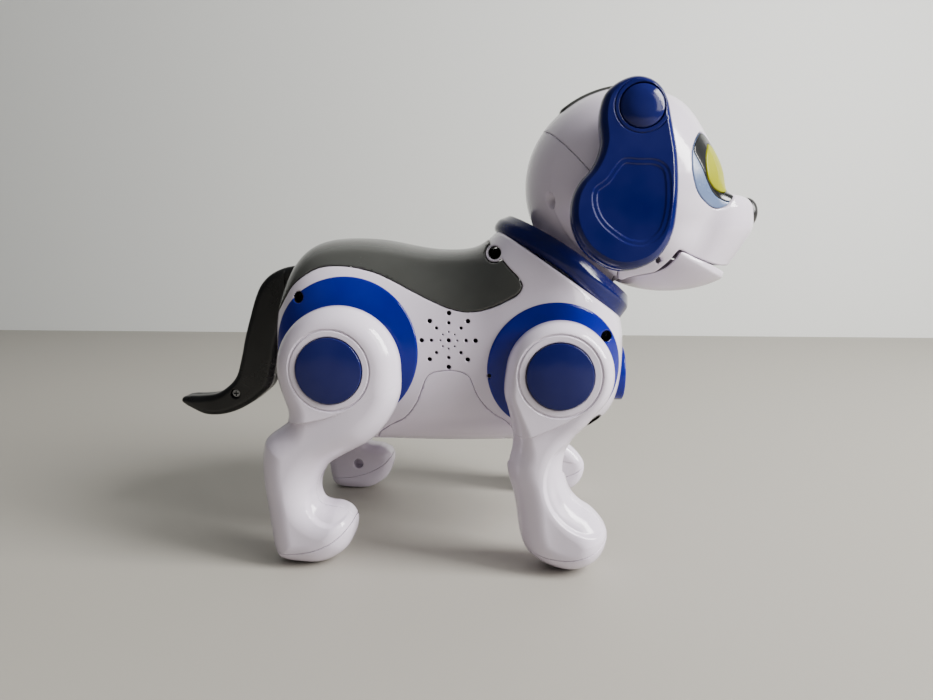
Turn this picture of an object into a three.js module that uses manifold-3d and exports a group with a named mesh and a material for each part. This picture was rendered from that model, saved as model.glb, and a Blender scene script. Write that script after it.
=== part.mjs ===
// Walking robot puppy toy: moulded shells, swinging leg pairs, turning head, hinged jaw, ears and tail.
// Millimetres, +X forward (nose), +Y to the dog's left, +Z up.
// The origin is on the floor, under the middle of the bounding box.
import * as THREE from "three";
import { mergeVertices } from "three/addons/utils/BufferGeometryUtils.js";
import Module from "manifold-3d";

const wasm = await Module();
wasm.setup();

// ---- driving dimensions ----
const GAP = 0.3; // clearance between neighbouring pieces
const WALL = 2.2; // moulded wall thickness
const BIG = 300; // reach of cutting blocks
const SLIVER = 0.06; // facets flatter than this are merged

const HIPS = {
  rear: { x: -45.5, z: 84.5, ring: { x: -42.5, z: 90.4, r: 28.9 } },
  front: { x: 44.4, z: 83.4, ring: { x: 41.4, z: 84.8, r: 26 } },
};
const RING_FACE = 47.2; // outer face of the blue hip rings, from the middle plane
const LEG_BACK = 47.8; // back of the hip disc
const LEG_INNER = 36.5; // inner face of the lower leg and paw
const LEG_FACE = 60;
const LEG_BEVEL = 4.5;
const THIGH_R = 42; // inside this radius from the hip the leg is only a flat disc
const CAP_R = 13.2;
const CAP_FACE = 61.8;
const AXLE_R = 3;
const SOLE_TOP = 5;

const NECK_TILT = THREE.MathUtils.degToRad(34.9); // the neck leans forward
const NECK = { x: 47.5, z: 120.5 }; // centre of the plane that the collar sits on
const COLLAR = { outer: 37, inner: 29.5, height: 10.5 };
const POST_R = 9;

const HEAD = { x: 74.5, z: 160, r: 43.3 };
const MUZZLE = { x: 99, z: 142, rx: 32.2, ry: 31, rz: 19.5 };
const CHEEK = { x: 84, z: 137, rx: 26, ry: 34, rz: 20 };
const JAW = { x: 95, z: 131, rx: 31, ry: 28.5, rz: 18.6 };
const NOSE = { x: 129.4, z: 148.3, rx: 5.25, ry: 9.5, rz: 6.4 };
const FACE_SEAM_X = 70;
const EYE = { azimuth: 34, elevation: 8, wide: 19, tall: 15.5 };
const LENS = { azimuth: 31, elevation: 10.5, wide: 15, tall: 13 };
const IRIS = { azimuth: 29.5, elevation: 10, wide: 10, tall: 9.6 };

const EAR_LEAN = THREE.MathUtils.degToRad(7); // ears stand closer together at the top
const EAR = { offset: 44, thick: 8, bevel: 2.8, pivotX: 73.5, pivotZ: 184 };
const EAR_CAP_R = 8.3;
const TAIL = { half: 6.5, clear: 1.6, pinX: -71, tangHalf: 2.5, tangZ: [104.5, 111.5] };
const GEAR = { module: 1.25, teeth: 24, pinionTeeth: 8, face: 5, y: 9 };
const BUTTON = { z: 78, r: 12.6, face: 78.2 }; // round button on the chest
const SWITCH_X = 27.3; // power switch on the belly
const DOOR = { x: 24, y: 21 }; // half sizes of the battery door
const SPEAKER = { x: -0.3, z: 94.3, r: 13.5 };

// ---- materials ----
const plastic = (color, roughness = 0.3, metalness = 0) =>
  new THREE.MeshStandardMaterial({ color, roughness, metalness });
const WHITE = plastic(0xd8d2da);
const BLUE = plastic(0x0a2fa0);
const NAVY = plastic(0x1b2768);
const GREY = plastic(0x5f625f);
const BLACK = plastic(0x151516, 0.45);
const RIM = plastic(0x7c8899, 0.35);
const IRIS_GREEN = plastic(0xc9c845, 0.35);
const INNER_GREY = plastic(0x6f7276, 0.6);
const NYLON = plastic(0xe8e2cc, 0.5);
const STEEL = plastic(0xb4b6ba, 0.35, 1);
const BOARD = plastic(0x1f5a34, 0.6);
const CELL_WRAP = plastic(0x2b2d30, 0.5);

// ---- helpers ----
function solid(geometry) {
  const bare = geometry.index ? geometry.toNonIndexed() : geometry.clone();
  bare.deleteAttribute("normal");
  bare.deleteAttribute("uv");
  const merged = mergeVertices(bare, 1e-4);
  return new wasm.Manifold(
    new wasm.Mesh({
      numProp: 3,
      vertProperties: merged.attributes.position.array,
      triVerts: new Uint32Array(merged.index.array),
    }),
  );
}

function block(x0, x1, y0, y1, z0, z1) {
  const box = new THREE.BoxGeometry(x1 - x0, y1 - y0, z1 - z0);
  return solid(box.translate((x0 + x1) / 2, (y0 + y1) / 2, (z0 + z1) / 2));
}

// Cylinder along Y at (x, z), from y0 to y1.
function rod(x, z, r, y0, y1, sides = 20) {
  const bar = new THREE.CylinderGeometry(r, r, y1 - y0, sides);
  return solid(bar.translate(x, (y0 + y1) / 2, z));
}

// Profile of [radius, distance along the axis], turned about an axis that starts as +Z.
function turned(profile, sides, place) {
  const points = profile.map(([r, along]) => new THREE.Vector2(r, along));
  const lathe = new THREE.LatheGeometry(points, sides).rotateX(Math.PI / 2);
  if (place) lathe.applyMatrix4(place);
  return solid(lathe);
}

// Side view outline in X and Z, extruded between two distances from the middle plane on the -Y side.
function sidePlate(points, near, far, bevel = 0, inset = 0) {
  const depth = far - near - 2 * bevel;
  const shape = new THREE.Shape(points);
  const plate = new THREE.ExtrudeGeometry(shape, {
    depth,
    bevelEnabled: bevel > 0,
    bevelThickness: bevel,
    bevelSize: bevel,
    bevelOffset: -bevel - inset,
    bevelSegments: 1,
    curveSegments: 6,
    steps: 1,
  });
  return solid(plate.translate(0, 0, near + bevel).rotateX(Math.PI / 2));
}

// Closed smooth curve through [x, z] points, as evenly spaced Vector2 points.
function smooth(pairs, count) {
  const path = new THREE.CatmullRomCurve3(
    pairs.map(([x, z]) => new THREE.Vector3(x, z, 0)),
    true,
    "centripetal",
  );
  return path.getSpacedPoints(count).slice(0, -1).map((p) => new THREE.Vector2(p.x, p.y));
}

// Outline moved inwards by a distance along each point's normal; outlines run clockwise or anticlockwise.
function shrink(points, distance) {
  const turn = THREE.ShapeUtils.area(points) > 0 ? 1 : -1;
  return points.map((point, i) => {
    const before = points[(i + points.length - 1) % points.length];
    const after = points[(i + 1) % points.length];
    const along = after.clone().sub(before).normalize();
    return point.clone().add(new THREE.Vector2(-along.y, along.x).multiplyScalar(distance * turn));
  });
}

const mirrored = (shape) => shape.mirror([0, 1, 0]);
const onSide = (shape, side) => (side === "right" ? shape : mirrored(shape));

const dog = new THREE.Group();
function add(name, shape, material) {
  const mesh = shape.simplify(SLIVER).getMesh();
  const geometry = new THREE.BufferGeometry();
  geometry.setAttribute("position", new THREE.BufferAttribute(new Float32Array(mesh.vertProperties), 3));
  geometry.setIndex([...mesh.triVerts]);
  geometry.computeVertexNormals();
  const node = new THREE.Mesh(geometry, material);
  node.name = name;
  dog.add(node);
}

// ---- body ----
// Cross sections from tail to chest: [x, top, bottom, half width], each a superellipse.
const STATIONS = [
  [-82, 104, 79, 12],
  [-80.5, 111, 68, 23],
  [-76.5, 120.5, 57, 32],
  [-69, 131, 49.5, 38.5],
  [-58, 135.7, 45.5, 42],
  [-45, 136.8, 44, 43.3],
  [-30, 135.6, 43.8, 42.5],
  [-14, 132.6, 43.5, 40.8],
  [2, 131.8, 43.5, 40],
  [13, 135, 43.8, 40.5],
  [22, 143, 44.2, 42],
  [34, 148, 44.6, 43],
  [46, 146, 46, 43],
  [57, 139, 49, 39.5],
  [65, 126, 53.5, 33.5],
  [71, 114, 60, 26],
  [75, 104, 68, 16],
];
const SQUARENESS = 2.5;
function bodyLoft(grow, around = 20) {
  const power = 2 / SQUARENESS;
  const first = STATIONS[0][0];
  const last = STATIONS[STATIONS.length - 1][0];
  const middle = (first + last) / 2;
  const stretch = (last - first + 2 * grow) / (last - first);
  const corner = (value) => Math.sign(value) * Math.abs(value) ** power;
  const rings = STATIONS.map(([x, top, bottom, half]) => {
    const ring = [];
    for (let i = 0; i < around; i++) {
      const angle = (i / around) * Math.PI * 2;
      const y = (half + grow) * corner(Math.cos(angle));
      const z = (top + bottom) / 2 + ((top - bottom) / 2 + grow) * corner(Math.sin(angle));
      ring.push([middle + (x - middle) * stretch, y, z]);
    }
    return ring;
  });
  const triangles = [];
  for (let s = 0; s + 1 < rings.length; s++)
    for (let i = 0; i < around; i++) {
      const j = (i + 1) % around;
      const [a, b, c, d] = [rings[s][i], rings[s][j], rings[s + 1][i], rings[s + 1][j]];
      triangles.push(a, b, c, b, d, c);
    }
  const closeEnd = (ring, facing) => {
    for (let i = 1; i + 1 < around; i++)
      triangles.push(...(facing < 0 ? [ring[0], ring[i + 1], ring[i]] : [ring[0], ring[i], ring[i + 1]]));
  };
  closeEnd(rings[0], -1);
  closeEnd(rings[rings.length - 1], 1);
  const geometry = new THREE.BufferGeometry();
  geometry.setAttribute("position", new THREE.Float32BufferAttribute(triangles.flat(), 3));
  return solid(geometry);
}

// Frame of the neck: its +Z runs up the neck axis from the collar plane's centre.
const neckPlace = new THREE.Matrix4()
  .makeRotationY(NECK_TILT)
  .setPosition(NECK.x, 0, NECK.z);
const aboveNeckPlane = (along) =>
  solid(new THREE.BoxGeometry(BIG, BIG, BIG).translate(0, 0, BIG / 2 + along).applyMatrix4(neckPlace));
const neckRod = (r, from, to, sides = 20) =>
  turned([[0, from], [r, from], [r, to], [0, to]], sides, neckPlace);

const bodyOuter = bodyLoft(0).subtract(aboveNeckPlane(0));
const bodyInner = bodyLoft(-WALL, 12).subtract(aboveNeckPlane(-WALL));
const bodyClear = bodyLoft(GAP).subtract(aboveNeckPlane(GAP));
let bodyShell = bodyOuter.subtract(bodyInner).subtract(neckRod(POST_R + GAP, -20, 20));

for (const hip of Object.values(HIPS))
  bodyShell = bodyShell.subtract(rod(hip.x, hip.z, AXLE_R + GAP, -BIG / 2, BIG / 2, 16));

// Speaker holes: one in the middle and three rings of eight on the right side.
const GRILLE = [[3.5, 0.45], [7.2, 0.7], [11.2, 0.95]];
bodyShell = bodyShell.subtract(rod(SPEAKER.x, SPEAKER.z, 0.9, -50, -30, 5));
for (const [ring, hole] of GRILLE)
  for (let i = 0; i < 8; i++) {
    const angle = (i * Math.PI) / 4;
    const x = SPEAKER.x + ring * Math.cos(angle);
    const z = SPEAKER.z + ring * Math.sin(angle);
    bodyShell = bodyShell.subtract(rod(x, z, hole, -50, -30, 5));
  }

// Opening for the tail's tang in the rear, and the chest button hole.
const [TANG_LOW, TANG_HIGH] = TAIL.tangZ;
bodyShell = bodyShell.subtract(block(-95, -75, -4.6, 4.6, TANG_LOW - 0.6, TANG_HIGH + 0.6));
const alongX = new THREE.Matrix4().makeRotationY(Math.PI / 2).setPosition(0, 0, BUTTON.z);
bodyShell = bodyShell.subtract(
  turned([[0, 60], [BUTTON.r + GAP, 60], [BUTTON.r + GAP, 90], [0, 90]], 32, alongX),
);

// Panels share the shell's own surface: each is the shell inside a side outline.
const COVER_EDGE = [
  [-90, 112], [-74, 112], [-66, 115], [-54.5, 122.3], [-45.5, 123.7], [-37.5, 123], [-30, 121],
  [-22.5, 117.5], [-7.5, 110], [-1, 107], [5.3, 105.5], [11.5, 106], [17.7, 108], [24, 111],
  [28.3, 113.7], [29.8, 117], [28.3, 120], [21, 127], [13, 136], [13, 160], [-90, 160],
];
const BELLY_EDGE = [
  [-33, 30], [-33, 50], [-26, 56.5], [-20, 60], [-14.5, 67], [-11, 75.5], [-9, 80], [-5, 82.2],
  [5, 82.2], [8.3, 79.5], [10.5, 73.7], [13.5, 68], [18.5, 62.7], [23.7, 59], [29, 50], [29, 30],
];
const asVectors = (pairs) => pairs.map(([x, z]) => new THREE.Vector2(x, z));
const across = (pairs, inset = 0) => sidePlate(shrink(asVectors(pairs), inset), -BIG / 2, BIG / 2);
const doorBlock = (inset) =>
  block(-DOOR.x + inset, DOOR.x - inset, -DOOR.y + inset, DOOR.y - inset, 30, 50);

const backCover = bodyShell.intersect(across(COVER_EDGE, GAP));
const bellyRegion = bodyShell.intersect(across(BELLY_EDGE, GAP));
const mainShell = bodyShell.subtract(across(COVER_EDGE)).subtract(across(BELLY_EDGE));
add("body_shell_right", mainShell.intersect(block(-BIG, BIG, -BIG, -GAP / 2, -BIG, BIG)), WHITE);
add("body_shell_left", mainShell.intersect(block(-BIG, BIG, GAP / 2, BIG, -BIG, BIG)), WHITE);
add("back_cover", backCover, GREY);

const switchSlot = block(SWITCH_X - 1.3, SWITCH_X + 1.3, -5, 5, 30, 60);
add("belly_cover", bellyRegion.subtract(doorBlock(0)).subtract(switchSlot), WHITE);
add("battery_door", bodyShell.intersect(doorBlock(GAP)), WHITE);
add(
  "power_switch_knob",
  block(SWITCH_X - 1, SWITCH_X + 1, -3.1, -0.1, 43, 47)
    .add(block(SWITCH_X - 1, SWITCH_X + 1, -5, 1.8, 46.9, 48.5)),
  BLACK,
);

// Collar: a rounded band with a bevelled mouth, sitting on the neck plane.
const { outer, inner, height } = COLLAR;
add(
  "collar_ring",
  turned(
    [
      [inner, 0.6], [outer - 2, 0.6], [outer, 2.6], [outer, height - 3], [outer - 3, height],
      [outer - 5, height], [inner, height - 4], [inner, 0.6],
    ],
    30,
    neckPlace,
  ),
  NAVY,
);
add(
  "neck_post",
  turned(
    [[0, -14], [12, -14], [12, -4], [POST_R, -3], [POST_R, 7.4], [12.5, 8], [12.5, 11], [0, 11]],
    20,
    neckPlace,
  ),
  INNER_GREY,
);

// Hip rings: shallow drums standing on the body's flanks.
for (const [end, hip] of Object.entries(HIPS))
  for (const side of ["right", "left"]) {
    const { x, z, r } = hip.ring;
    const place = new THREE.Matrix4().makeRotationX(Math.PI / 2).setPosition(x, 0, z);
    const drum = turned(
      [
        [0, 20], [r, 20], [r, RING_FACE - 2.4], [r - 0.8, RING_FACE - 0.8],
        [r - 2.6, RING_FACE], [0, RING_FACE],
      ],
      28,
      place,
    );
    const ring = drum
      .subtract(bodyClear)
      .subtract(rod(hip.x, hip.z, AXLE_R + GAP, -60, 0, 16))
      .subtract(aboveNeckPlane(0));
    add(`${end}_hip_ring_${side}`, onSide(ring, side), BLUE);
  }

// ---- legs ----
const REAR_LEG = [
  [-71.8, 80], [-70.3, 68], [-70.2, 60], [-75.8, 54], [-78.3, 45], [-78, 34], [-76.6, 20], [-75, 9],
  [-71.5, 1.4], [-63, -0.8], [-52, -0.4], [-44.5, 4.6], [-39.8, 12], [-40.3, 20], [-46, 24.8], [-52.5, 26],
  [-54.8, 33], [-53, 39.5], [-46.5, 45.8], [-36, 50.6], [-27.5, 57.5], [-22, 67], [-19, 80],
  [-20.5, 93], [-27.5, 104], [-38, 110], [-50, 110.7], [-61.5, 106], [-69.5, 95],
];
const FRONT_LEG = [
  [22.9, 82.6], [24.6, 68.5], [25.7, 57], [24.2, 46], [26.3, 33], [28.9, 18], [32, 8], [39, 1.4],
  [47, -0.8], [56, 0.2], [63, 5], [66, 12.6], [63.4, 21], [55.5, 27.5], [50.5, 33], [48.4, 41],
  [49, 51], [55, 60], [62.5, 68], [65.8, 77], [65.2, 88], [60, 98.3], [49.5, 104.3], [37.5, 103.5],
  [28, 97], [23.5, 90],
];
const LEG_POINTS = 30;
function legSolids(outline, hip) {
  const edge = smooth(outline, LEG_POINTS);
  const hipDisc = rod(hip.x, hip.z, THIGH_R, -LEG_BACK, 0, 24);
  const hollowDisc = rod(hip.x, hip.z, THIGH_R + WALL, -LEG_BACK - WALL, 0, 24);
  const hub = rod(hip.x, hip.z, CAP_R + 2.5, -57.9, -LEG_BACK, 16);
  const recess = rod(hip.x, hip.z, CAP_R + GAP, -70, -57, 20);
  const bore = rod(hip.x, hip.z, AXLE_R + 0.1, -58, 0, 12);
  const floorCut = (z0, z1) => block(-BIG, BIG, -BIG, BIG, z0, z1);
  const full = sidePlate(edge, LEG_INNER, LEG_FACE, LEG_BEVEL).subtract(hipDisc).subtract(floorCut(-10, 0));
  const hollow = sidePlate(shrink(edge, WALL), LEG_INNER + WALL, LEG_FACE - WALL).subtract(hollowDisc);
  const shell = full.subtract(hollow).add(hub).subtract(recess).subtract(bore)
    .subtract(floorCut(-10, SOLE_TOP));
  return {
    outer: shell.subtract(block(-BIG, BIG, -LEG_BACK, BIG, -BIG, BIG)),
    inner: shell.intersect(block(-BIG, BIG, -LEG_BACK + GAP, BIG, -BIG, BIG)),
    sole: full.intersect(floorCut(-10, SOLE_TOP - GAP)),
  };
}

function hipCap(hip) {
  const place = new THREE.Matrix4().makeRotationX(Math.PI / 2).setPosition(hip.x, 0, hip.z);
  const profile = [
    [0, 58.3], [CAP_R, 58.3], [CAP_R, CAP_FACE - 1.6], [CAP_R - 1.2, CAP_FACE - 0.7],
    [CAP_R * 0.55, CAP_FACE - 0.15], [0, CAP_FACE],
  ];
  return turned(profile, 20, place);
}

// Spur gear outline with trapezoid teeth, centred on the origin.
function gearPoints(teeth, backlash) {
  const pitch = (GEAR.module * teeth) / 2;
  const tip = pitch + 0.85 * GEAR.module;
  const root = pitch - 1.15 * GEAR.module;
  const step = (Math.PI * 2) / teeth;
  const points = [];
  const corner = (radius, angle) =>
    points.push(new THREE.Vector2(radius * Math.cos(angle), radius * Math.sin(angle)));
  for (let i = 0; i < teeth; i++) {
    corner(root, (i - 0.34) * step);
    corner(tip, (i - 0.13 + backlash) * step);
    corner(tip, (i + 0.13 - backlash) * step);
    corner(root, (i + 0.34) * step);
  }
  return points;
}
function gear(x, z, teeth, phase, near, far, backlash) {
  const middle = new THREE.Vector2();
  const centre = new THREE.Vector2(x, z);
  const points = gearPoints(teeth, backlash).map((p) => p.rotateAround(middle, phase).add(centre));
  return sidePlate(points, near, far);
}

for (const [end, hip] of Object.entries(HIPS)) {
  const pieces = legSolids(end === "rear" ? REAR_LEG : FRONT_LEG, hip);
  for (const side of ["right", "left"]) {
    add(`${end}_leg_outer_${side}`, onSide(pieces.outer, side), WHITE);
    add(`${end}_leg_inner_${side}`, onSide(pieces.inner, side), WHITE);
    add(`${end}_sole_${side}`, onSide(pieces.sole, side), WHITE);
    add(`${end}_hip_cap_${side}`, onSide(hipCap(hip), side), NAVY);
  }
  add(`${end}_axle`, rod(hip.x, hip.z, AXLE_R, -57.8, 57.8, 16), STEEL);

  // Drive: axle gear, motor pinion towards the middle of the body, and the motor that turns it.
  const distance = (GEAR.module * (GEAR.teeth + GEAR.pinionTeeth)) / 2;
  const toMiddle = end === "rear" ? 1 : -1;
  const pinionX = hip.x + toMiddle * distance;
  const near = GEAR.y;
  const far = GEAR.y + GEAR.face;
  const gearPhase = end === "rear" ? 0 : Math.PI;
  const pinionPhase = gearPhase + Math.PI + Math.PI / GEAR.pinionTeeth;
  const wheel = gear(hip.x, hip.z, GEAR.teeth, gearPhase, near, far, 0.03)
    .subtract(rod(hip.x, hip.z, AXLE_R + 0.1, -60, 60, 16));
  add(`${end}_axle_gear`, wheel, NYLON);
  const shaft = rod(pinionX, hip.z, 1, -far - 1, 0, 12);
  const pinion = gear(pinionX, hip.z, GEAR.pinionTeeth, pinionPhase, near, far, 0.03).add(shaft);
  add(`${end}_pinion`, pinion, NYLON);
  const motor = rod(pinionX, hip.z, 10, -near + 2, 24, 24).subtract(rod(pinionX, hip.z, 1.15, -20, 1, 12));
  add(`${end}_motor`, motor, STEEL);
}

// ---- electronics inside the body ----
const speakerPlace = new THREE.Matrix4().makeRotationX(Math.PI / 2).setPosition(SPEAKER.x, 0, SPEAKER.z);
add(
  "speaker",
  turned(
    [[0, 25], [6, 25], [SPEAKER.r - 1, 29], [SPEAKER.r, 29], [SPEAKER.r, 33], [0, 33]],
    20,
    speakerPlace,
  ),
  CELL_WRAP,
);
add("circuit_board", block(-50, 12, -26, 26, 110, 111.6).add(block(-40, -20, -10, 10, 111.5, 114)), BOARD);
add("battery_pack", block(-27, 22, -21, 21, 52, 63.5), CELL_WRAP);

// ---- chest button and the rubber dome that returns it ----
add(
  "chest_button",
  turned(
    [
      [0, 68.5], [BUTTON.r - 3, 68.5], [BUTTON.r, 70], [BUTTON.r, BUTTON.face - 2],
      [BUTTON.r - 2, BUTTON.face - 0.4], [0, BUTTON.face],
    ],
    20,
    alongX,
  ),
  BLUE,
);
add("button_dome", turned([[0, 60], [7, 60], [7, 61.5], [3, 66.6], [0, 66.6]], 20, alongX), BLACK);

// ---- head ----
function ball(r, sides = 24) {
  const sphere = new THREE.SphereGeometry(r, sides, (sides * 2) / 3).rotateX(Math.PI / 2);
  return solid(sphere.translate(HEAD.x, 0, HEAD.z));
}
function egg({ x, z, rx, ry, rz }, grow = 0, sides = 18) {
  const round = new THREE.SphereGeometry(1, sides, sides / 2).rotateX(Math.PI / 2);
  return solid(round.scale(rx + grow, ry + grow, rz + grow).translate(x, 0, z));
}
const headOuter = ball(HEAD.r).add(egg(MUZZLE)).add(egg(CHEEK));
const headInner = ball(HEAD.r - WALL, 15).add(egg(MUZZLE, -WALL, 12)).add(egg(CHEEK, -WALL, 12));

// Side outlines in X and Z: what the jaw keeps of its own egg, and the room the head leaves for it.
const JAW_SIDE = [
  [73.5, 105], [73.5, 118.5], [76, 120], [83, 121.6], [88.5, 125], [93, 130.4], [98, 128.6], [106, 124.6],
  [121, 119.4], [121, 105],
];
const MOUTH_CUT = [
  [60, 100], [71.5, 118], [76, 121.6], [83, 123.2], [88, 126.6], [93.6, 133], [100, 132], [110, 128.2],
  [120.6, 124.4], [140, 122], [140, 100],
];
// Elliptical cutter that leaves the head's centre towards an eye direction on the right side.
function eyeCutter({ azimuth, elevation, wide, tall }, grow = 0) {
  const cutter = new THREE.CylinderGeometry(1, 1, HEAD.r, 16).translate(0, HEAD.r / 2 + 20, 0);
  cutter.scale(wide + grow, 1, tall + grow);
  cutter.rotateZ(-Math.PI / 2);
  cutter.rotateX(Math.PI);
  cutter.rotateY(-THREE.MathUtils.degToRad(elevation));
  cutter.rotateZ(-THREE.MathUtils.degToRad(azimuth));
  return solid(cutter.translate(HEAD.x, 0, HEAD.z));
}
const bothSides = (shape) => shape.add(mirrored(shape));

let headShell = headOuter.subtract(headInner).subtract(across(MOUTH_CUT));
headShell = headShell.subtract(neckRod(POST_R + 0.5, -10, 20)).subtract(neckRod(13.2, 7.2, 20));
headShell = headShell.subtract(egg(NOSE, GAP, 12)).subtract(bothSides(eyeCutter(EYE, GAP)));

// Grey crown strip: a raised band from the back of the head to just behind the eyes.
const STRIP = { x0: 46, x1: 90, half: 9, lift: 0.9 };
const stripBlock = (inset) =>
  block(STRIP.x0 + inset, STRIP.x1 - inset, -STRIP.half + inset, STRIP.half - inset, 180, 220);
const crown = ball(HEAD.r + STRIP.lift).subtract(ball(HEAD.r - WALL, 15)).intersect(stripBlock(GAP));
headShell = headShell.subtract(stripBlock(0));

// Ear pivots: posts that stand on the head along the leaning ear axis.
const earPlace = new THREE.Matrix4()
  .makeRotationX(Math.PI / 2 - EAR_LEAN)
  .setPosition(HEAD.x, 0, HEAD.z);
const earRise = (EAR.offset + EAR.thick / 2) * Math.sin(EAR_LEAN);
const earLocal = ([x, z]) => [x - HEAD.x, (z - HEAD.z - earRise) / Math.cos(EAR_LEAN)];
const [pivotX, pivotY] = earLocal([EAR.pivotX, EAR.pivotZ]);
const earPivotPlace = earPlace.clone().multiply(new THREE.Matrix4().makeTranslation(pivotX, pivotY, 0));
const earRod = (r, from, to) => turned([[0, from], [r, from], [r, to], [0, to]], 16, earPivotPlace);
const earPost = earRod(6, 30, EAR.offset - GAP).add(earRod(2.6, 30, EAR.offset + 5)).subtract(headInner);
headShell = headShell.add(bothSides(earPost));

const behindSeam = block(-BIG, FACE_SEAM_X - GAP / 2, -BIG, BIG, -BIG, BIG);
const beforeSeam = block(FACE_SEAM_X + GAP / 2 + 10, BIG, -BIG, BIG, -BIG, BIG)
  .add(block(FACE_SEAM_X + GAP / 2, FACE_SEAM_X + 20, -BIG, BIG, -BIG, HEAD.z + 12));
const backReach = behindSeam
  .add(block(-BIG, FACE_SEAM_X + 10 - GAP / 2, -BIG, BIG, HEAD.z + 12 + GAP, BIG));
add("head_back_shell", headShell.intersect(backReach), WHITE);
add("head_face_shell", headShell.intersect(beforeSeam), WHITE);
add("head_crown_strip", crown, GREY);
add("nose", egg(NOSE, 0, 12), BLACK);

const eyeWall = headOuter.subtract(headInner);
const irisFloor = ball(HEAD.r - 1);
for (const side of ["right", "left"]) {
  const rim = eyeWall.intersect(eyeCutter(EYE)).subtract(eyeCutter(LENS, GAP));
  const iris = eyeWall.subtract(irisFloor).intersect(eyeCutter(IRIS));
  const irisRoom = eyeCutter(IRIS, GAP).subtract(ball(HEAD.r - 1 - GAP));
  const lens = eyeWall.intersect(eyeCutter(LENS)).subtract(irisRoom);
  add(`eye_rim_${side}`, onSide(rim, side), RIM);
  add(`eye_lens_${side}`, onSide(lens, side), BLACK);
  add(`iris_${side}`, onSide(iris, side), IRIS_GREEN);
}

// Jaw: an open scoop, hinged inside the cheeks.
const jawHollow = egg(JAW, -WALL, 14).subtract(block(-BIG, 76, -BIG, BIG, -BIG, BIG));
add("jaw", egg(JAW).intersect(across(JAW_SIDE)).subtract(jawHollow), WHITE);

// ---- ears ----
const EAR_OUTLINE = [
  [71, 194.6], [62, 190.5], [58.2, 182], [58.6, 171], [54, 160.5], [48.9, 152], [48, 141.5], [52.5, 131.5],
  [61, 125], [70, 123.6], [79.5, 127.3], [86, 137], [88, 152], [87.4, 167], [85, 181], [79.5, 191.5],
];
const earEdge = smooth(EAR_OUTLINE.map(earLocal), 26);
const earBlank = new THREE.ExtrudeGeometry(new THREE.Shape(earEdge), {
  depth: EAR.thick - 2 * EAR.bevel,
  bevelThickness: EAR.bevel,
  bevelSize: EAR.bevel,
  bevelOffset: -EAR.bevel,
  bevelSegments: 1,
}).translate(0, 0, EAR.offset + EAR.bevel);
const earSolid = solid(earBlank.applyMatrix4(earPlace));
const capRecess = earRod(EAR_CAP_R + GAP, EAR.offset + 5.5, 70);
const earHole = earRod(2.6 + GAP, 30, 70);
const earCap = turned(
  [[0, 49.8], [EAR_CAP_R, 49.8], [EAR_CAP_R, 52], [EAR_CAP_R - 1.5, 53], [EAR_CAP_R * 0.5, 53.8], [0, 54]],
  16,
  earPivotPlace,
);
for (const side of ["right", "left"]) {
  add(`ear_${side}`, onSide(earSolid.subtract(capRecess).subtract(earHole), side), NAVY);
  add(`ear_cap_${side}`, onSide(earCap, side), NAVY);
}

// ---- tail ----
const TAIL_OUTLINE = [
  [-77, 123.5], [-84, 122], [-90, 118.5], [-94.5, 112], [-98.5, 100.5], [-102, 88], [-105.5, 75],
  [-111, 66.5], [-119, 62.5], [-128, 61.5], [-134.4, 60.2], [-134.1, 57.4], [-127, 53.4], [-117.5, 52],
  [-107, 54.5], [-97, 60], [-90, 68], [-87.5, 80], [-86.5, 94], [-84.5, 106], [-80, 115],
];
const tailEdge = smooth(TAIL_OUTLINE, 30);
const tailBlank = sidePlate(tailEdge, -TAIL.half, TAIL.half, 2.2);
const pinPlace = new THREE.Matrix4().setPosition(TAIL.pinX, 0, 0);
const pinRod = (r, from, to) => turned([[0, from], [r, from], [r, to], [0, to]], 16, pinPlace);
const tang = pinRod(4.5, TANG_LOW, TANG_HIGH)
  .add(block(-90, TAIL.pinX, -TAIL.tangHalf, TAIL.tangHalf, TANG_LOW, TANG_HIGH));
const tailSolid = tailBlank.subtract(bodyLoft(TAIL.clear)).add(tang).subtract(pinRod(1.6, 90, 125));
const tailHalf = tailSolid.intersect(block(-BIG, BIG, -BIG, -GAP / 2, -BIG, BIG));
add("tail_right", tailHalf, BLACK);
add("tail_left", mirrored(tailHalf), BLACK);
add("tail_pin", pinRod(1.4, 98, 118), STEEL);
const lugs = pinRod(4, 98.5, TANG_LOW - 0.6).add(pinRod(4, TANG_HIGH + 0.6, 116.5));
const bracket = lugs
  .add(block(TAIL.pinX, -58, -4, 4, 98.5, TANG_LOW - 0.6))
  .add(block(TAIL.pinX, -58, -4, 4, TANG_HIGH + 0.6, 116.5))
  .add(block(-63, -58, -4, 4, 98.5, 116.5))
  .subtract(pinRod(1.5, 90, 125));
add("tail_bracket", bracket, INNER_GREY);

export default dog;
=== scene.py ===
"""Looks of the walking robot puppy toy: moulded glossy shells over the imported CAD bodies.

Shapes are signed distances in millimetres (negative inside), in the row frame: +X nose, +Y the dog's left,
+Z up. Right-hand pieces lie at negative Y and are mirrored for the left. Each piece is meshed on a grid,
drawn onto its surface and shaded with the surface's own normals.
"""

import math

import bpy
import numpy as np
from mathutils import Matrix, Vector


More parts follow.
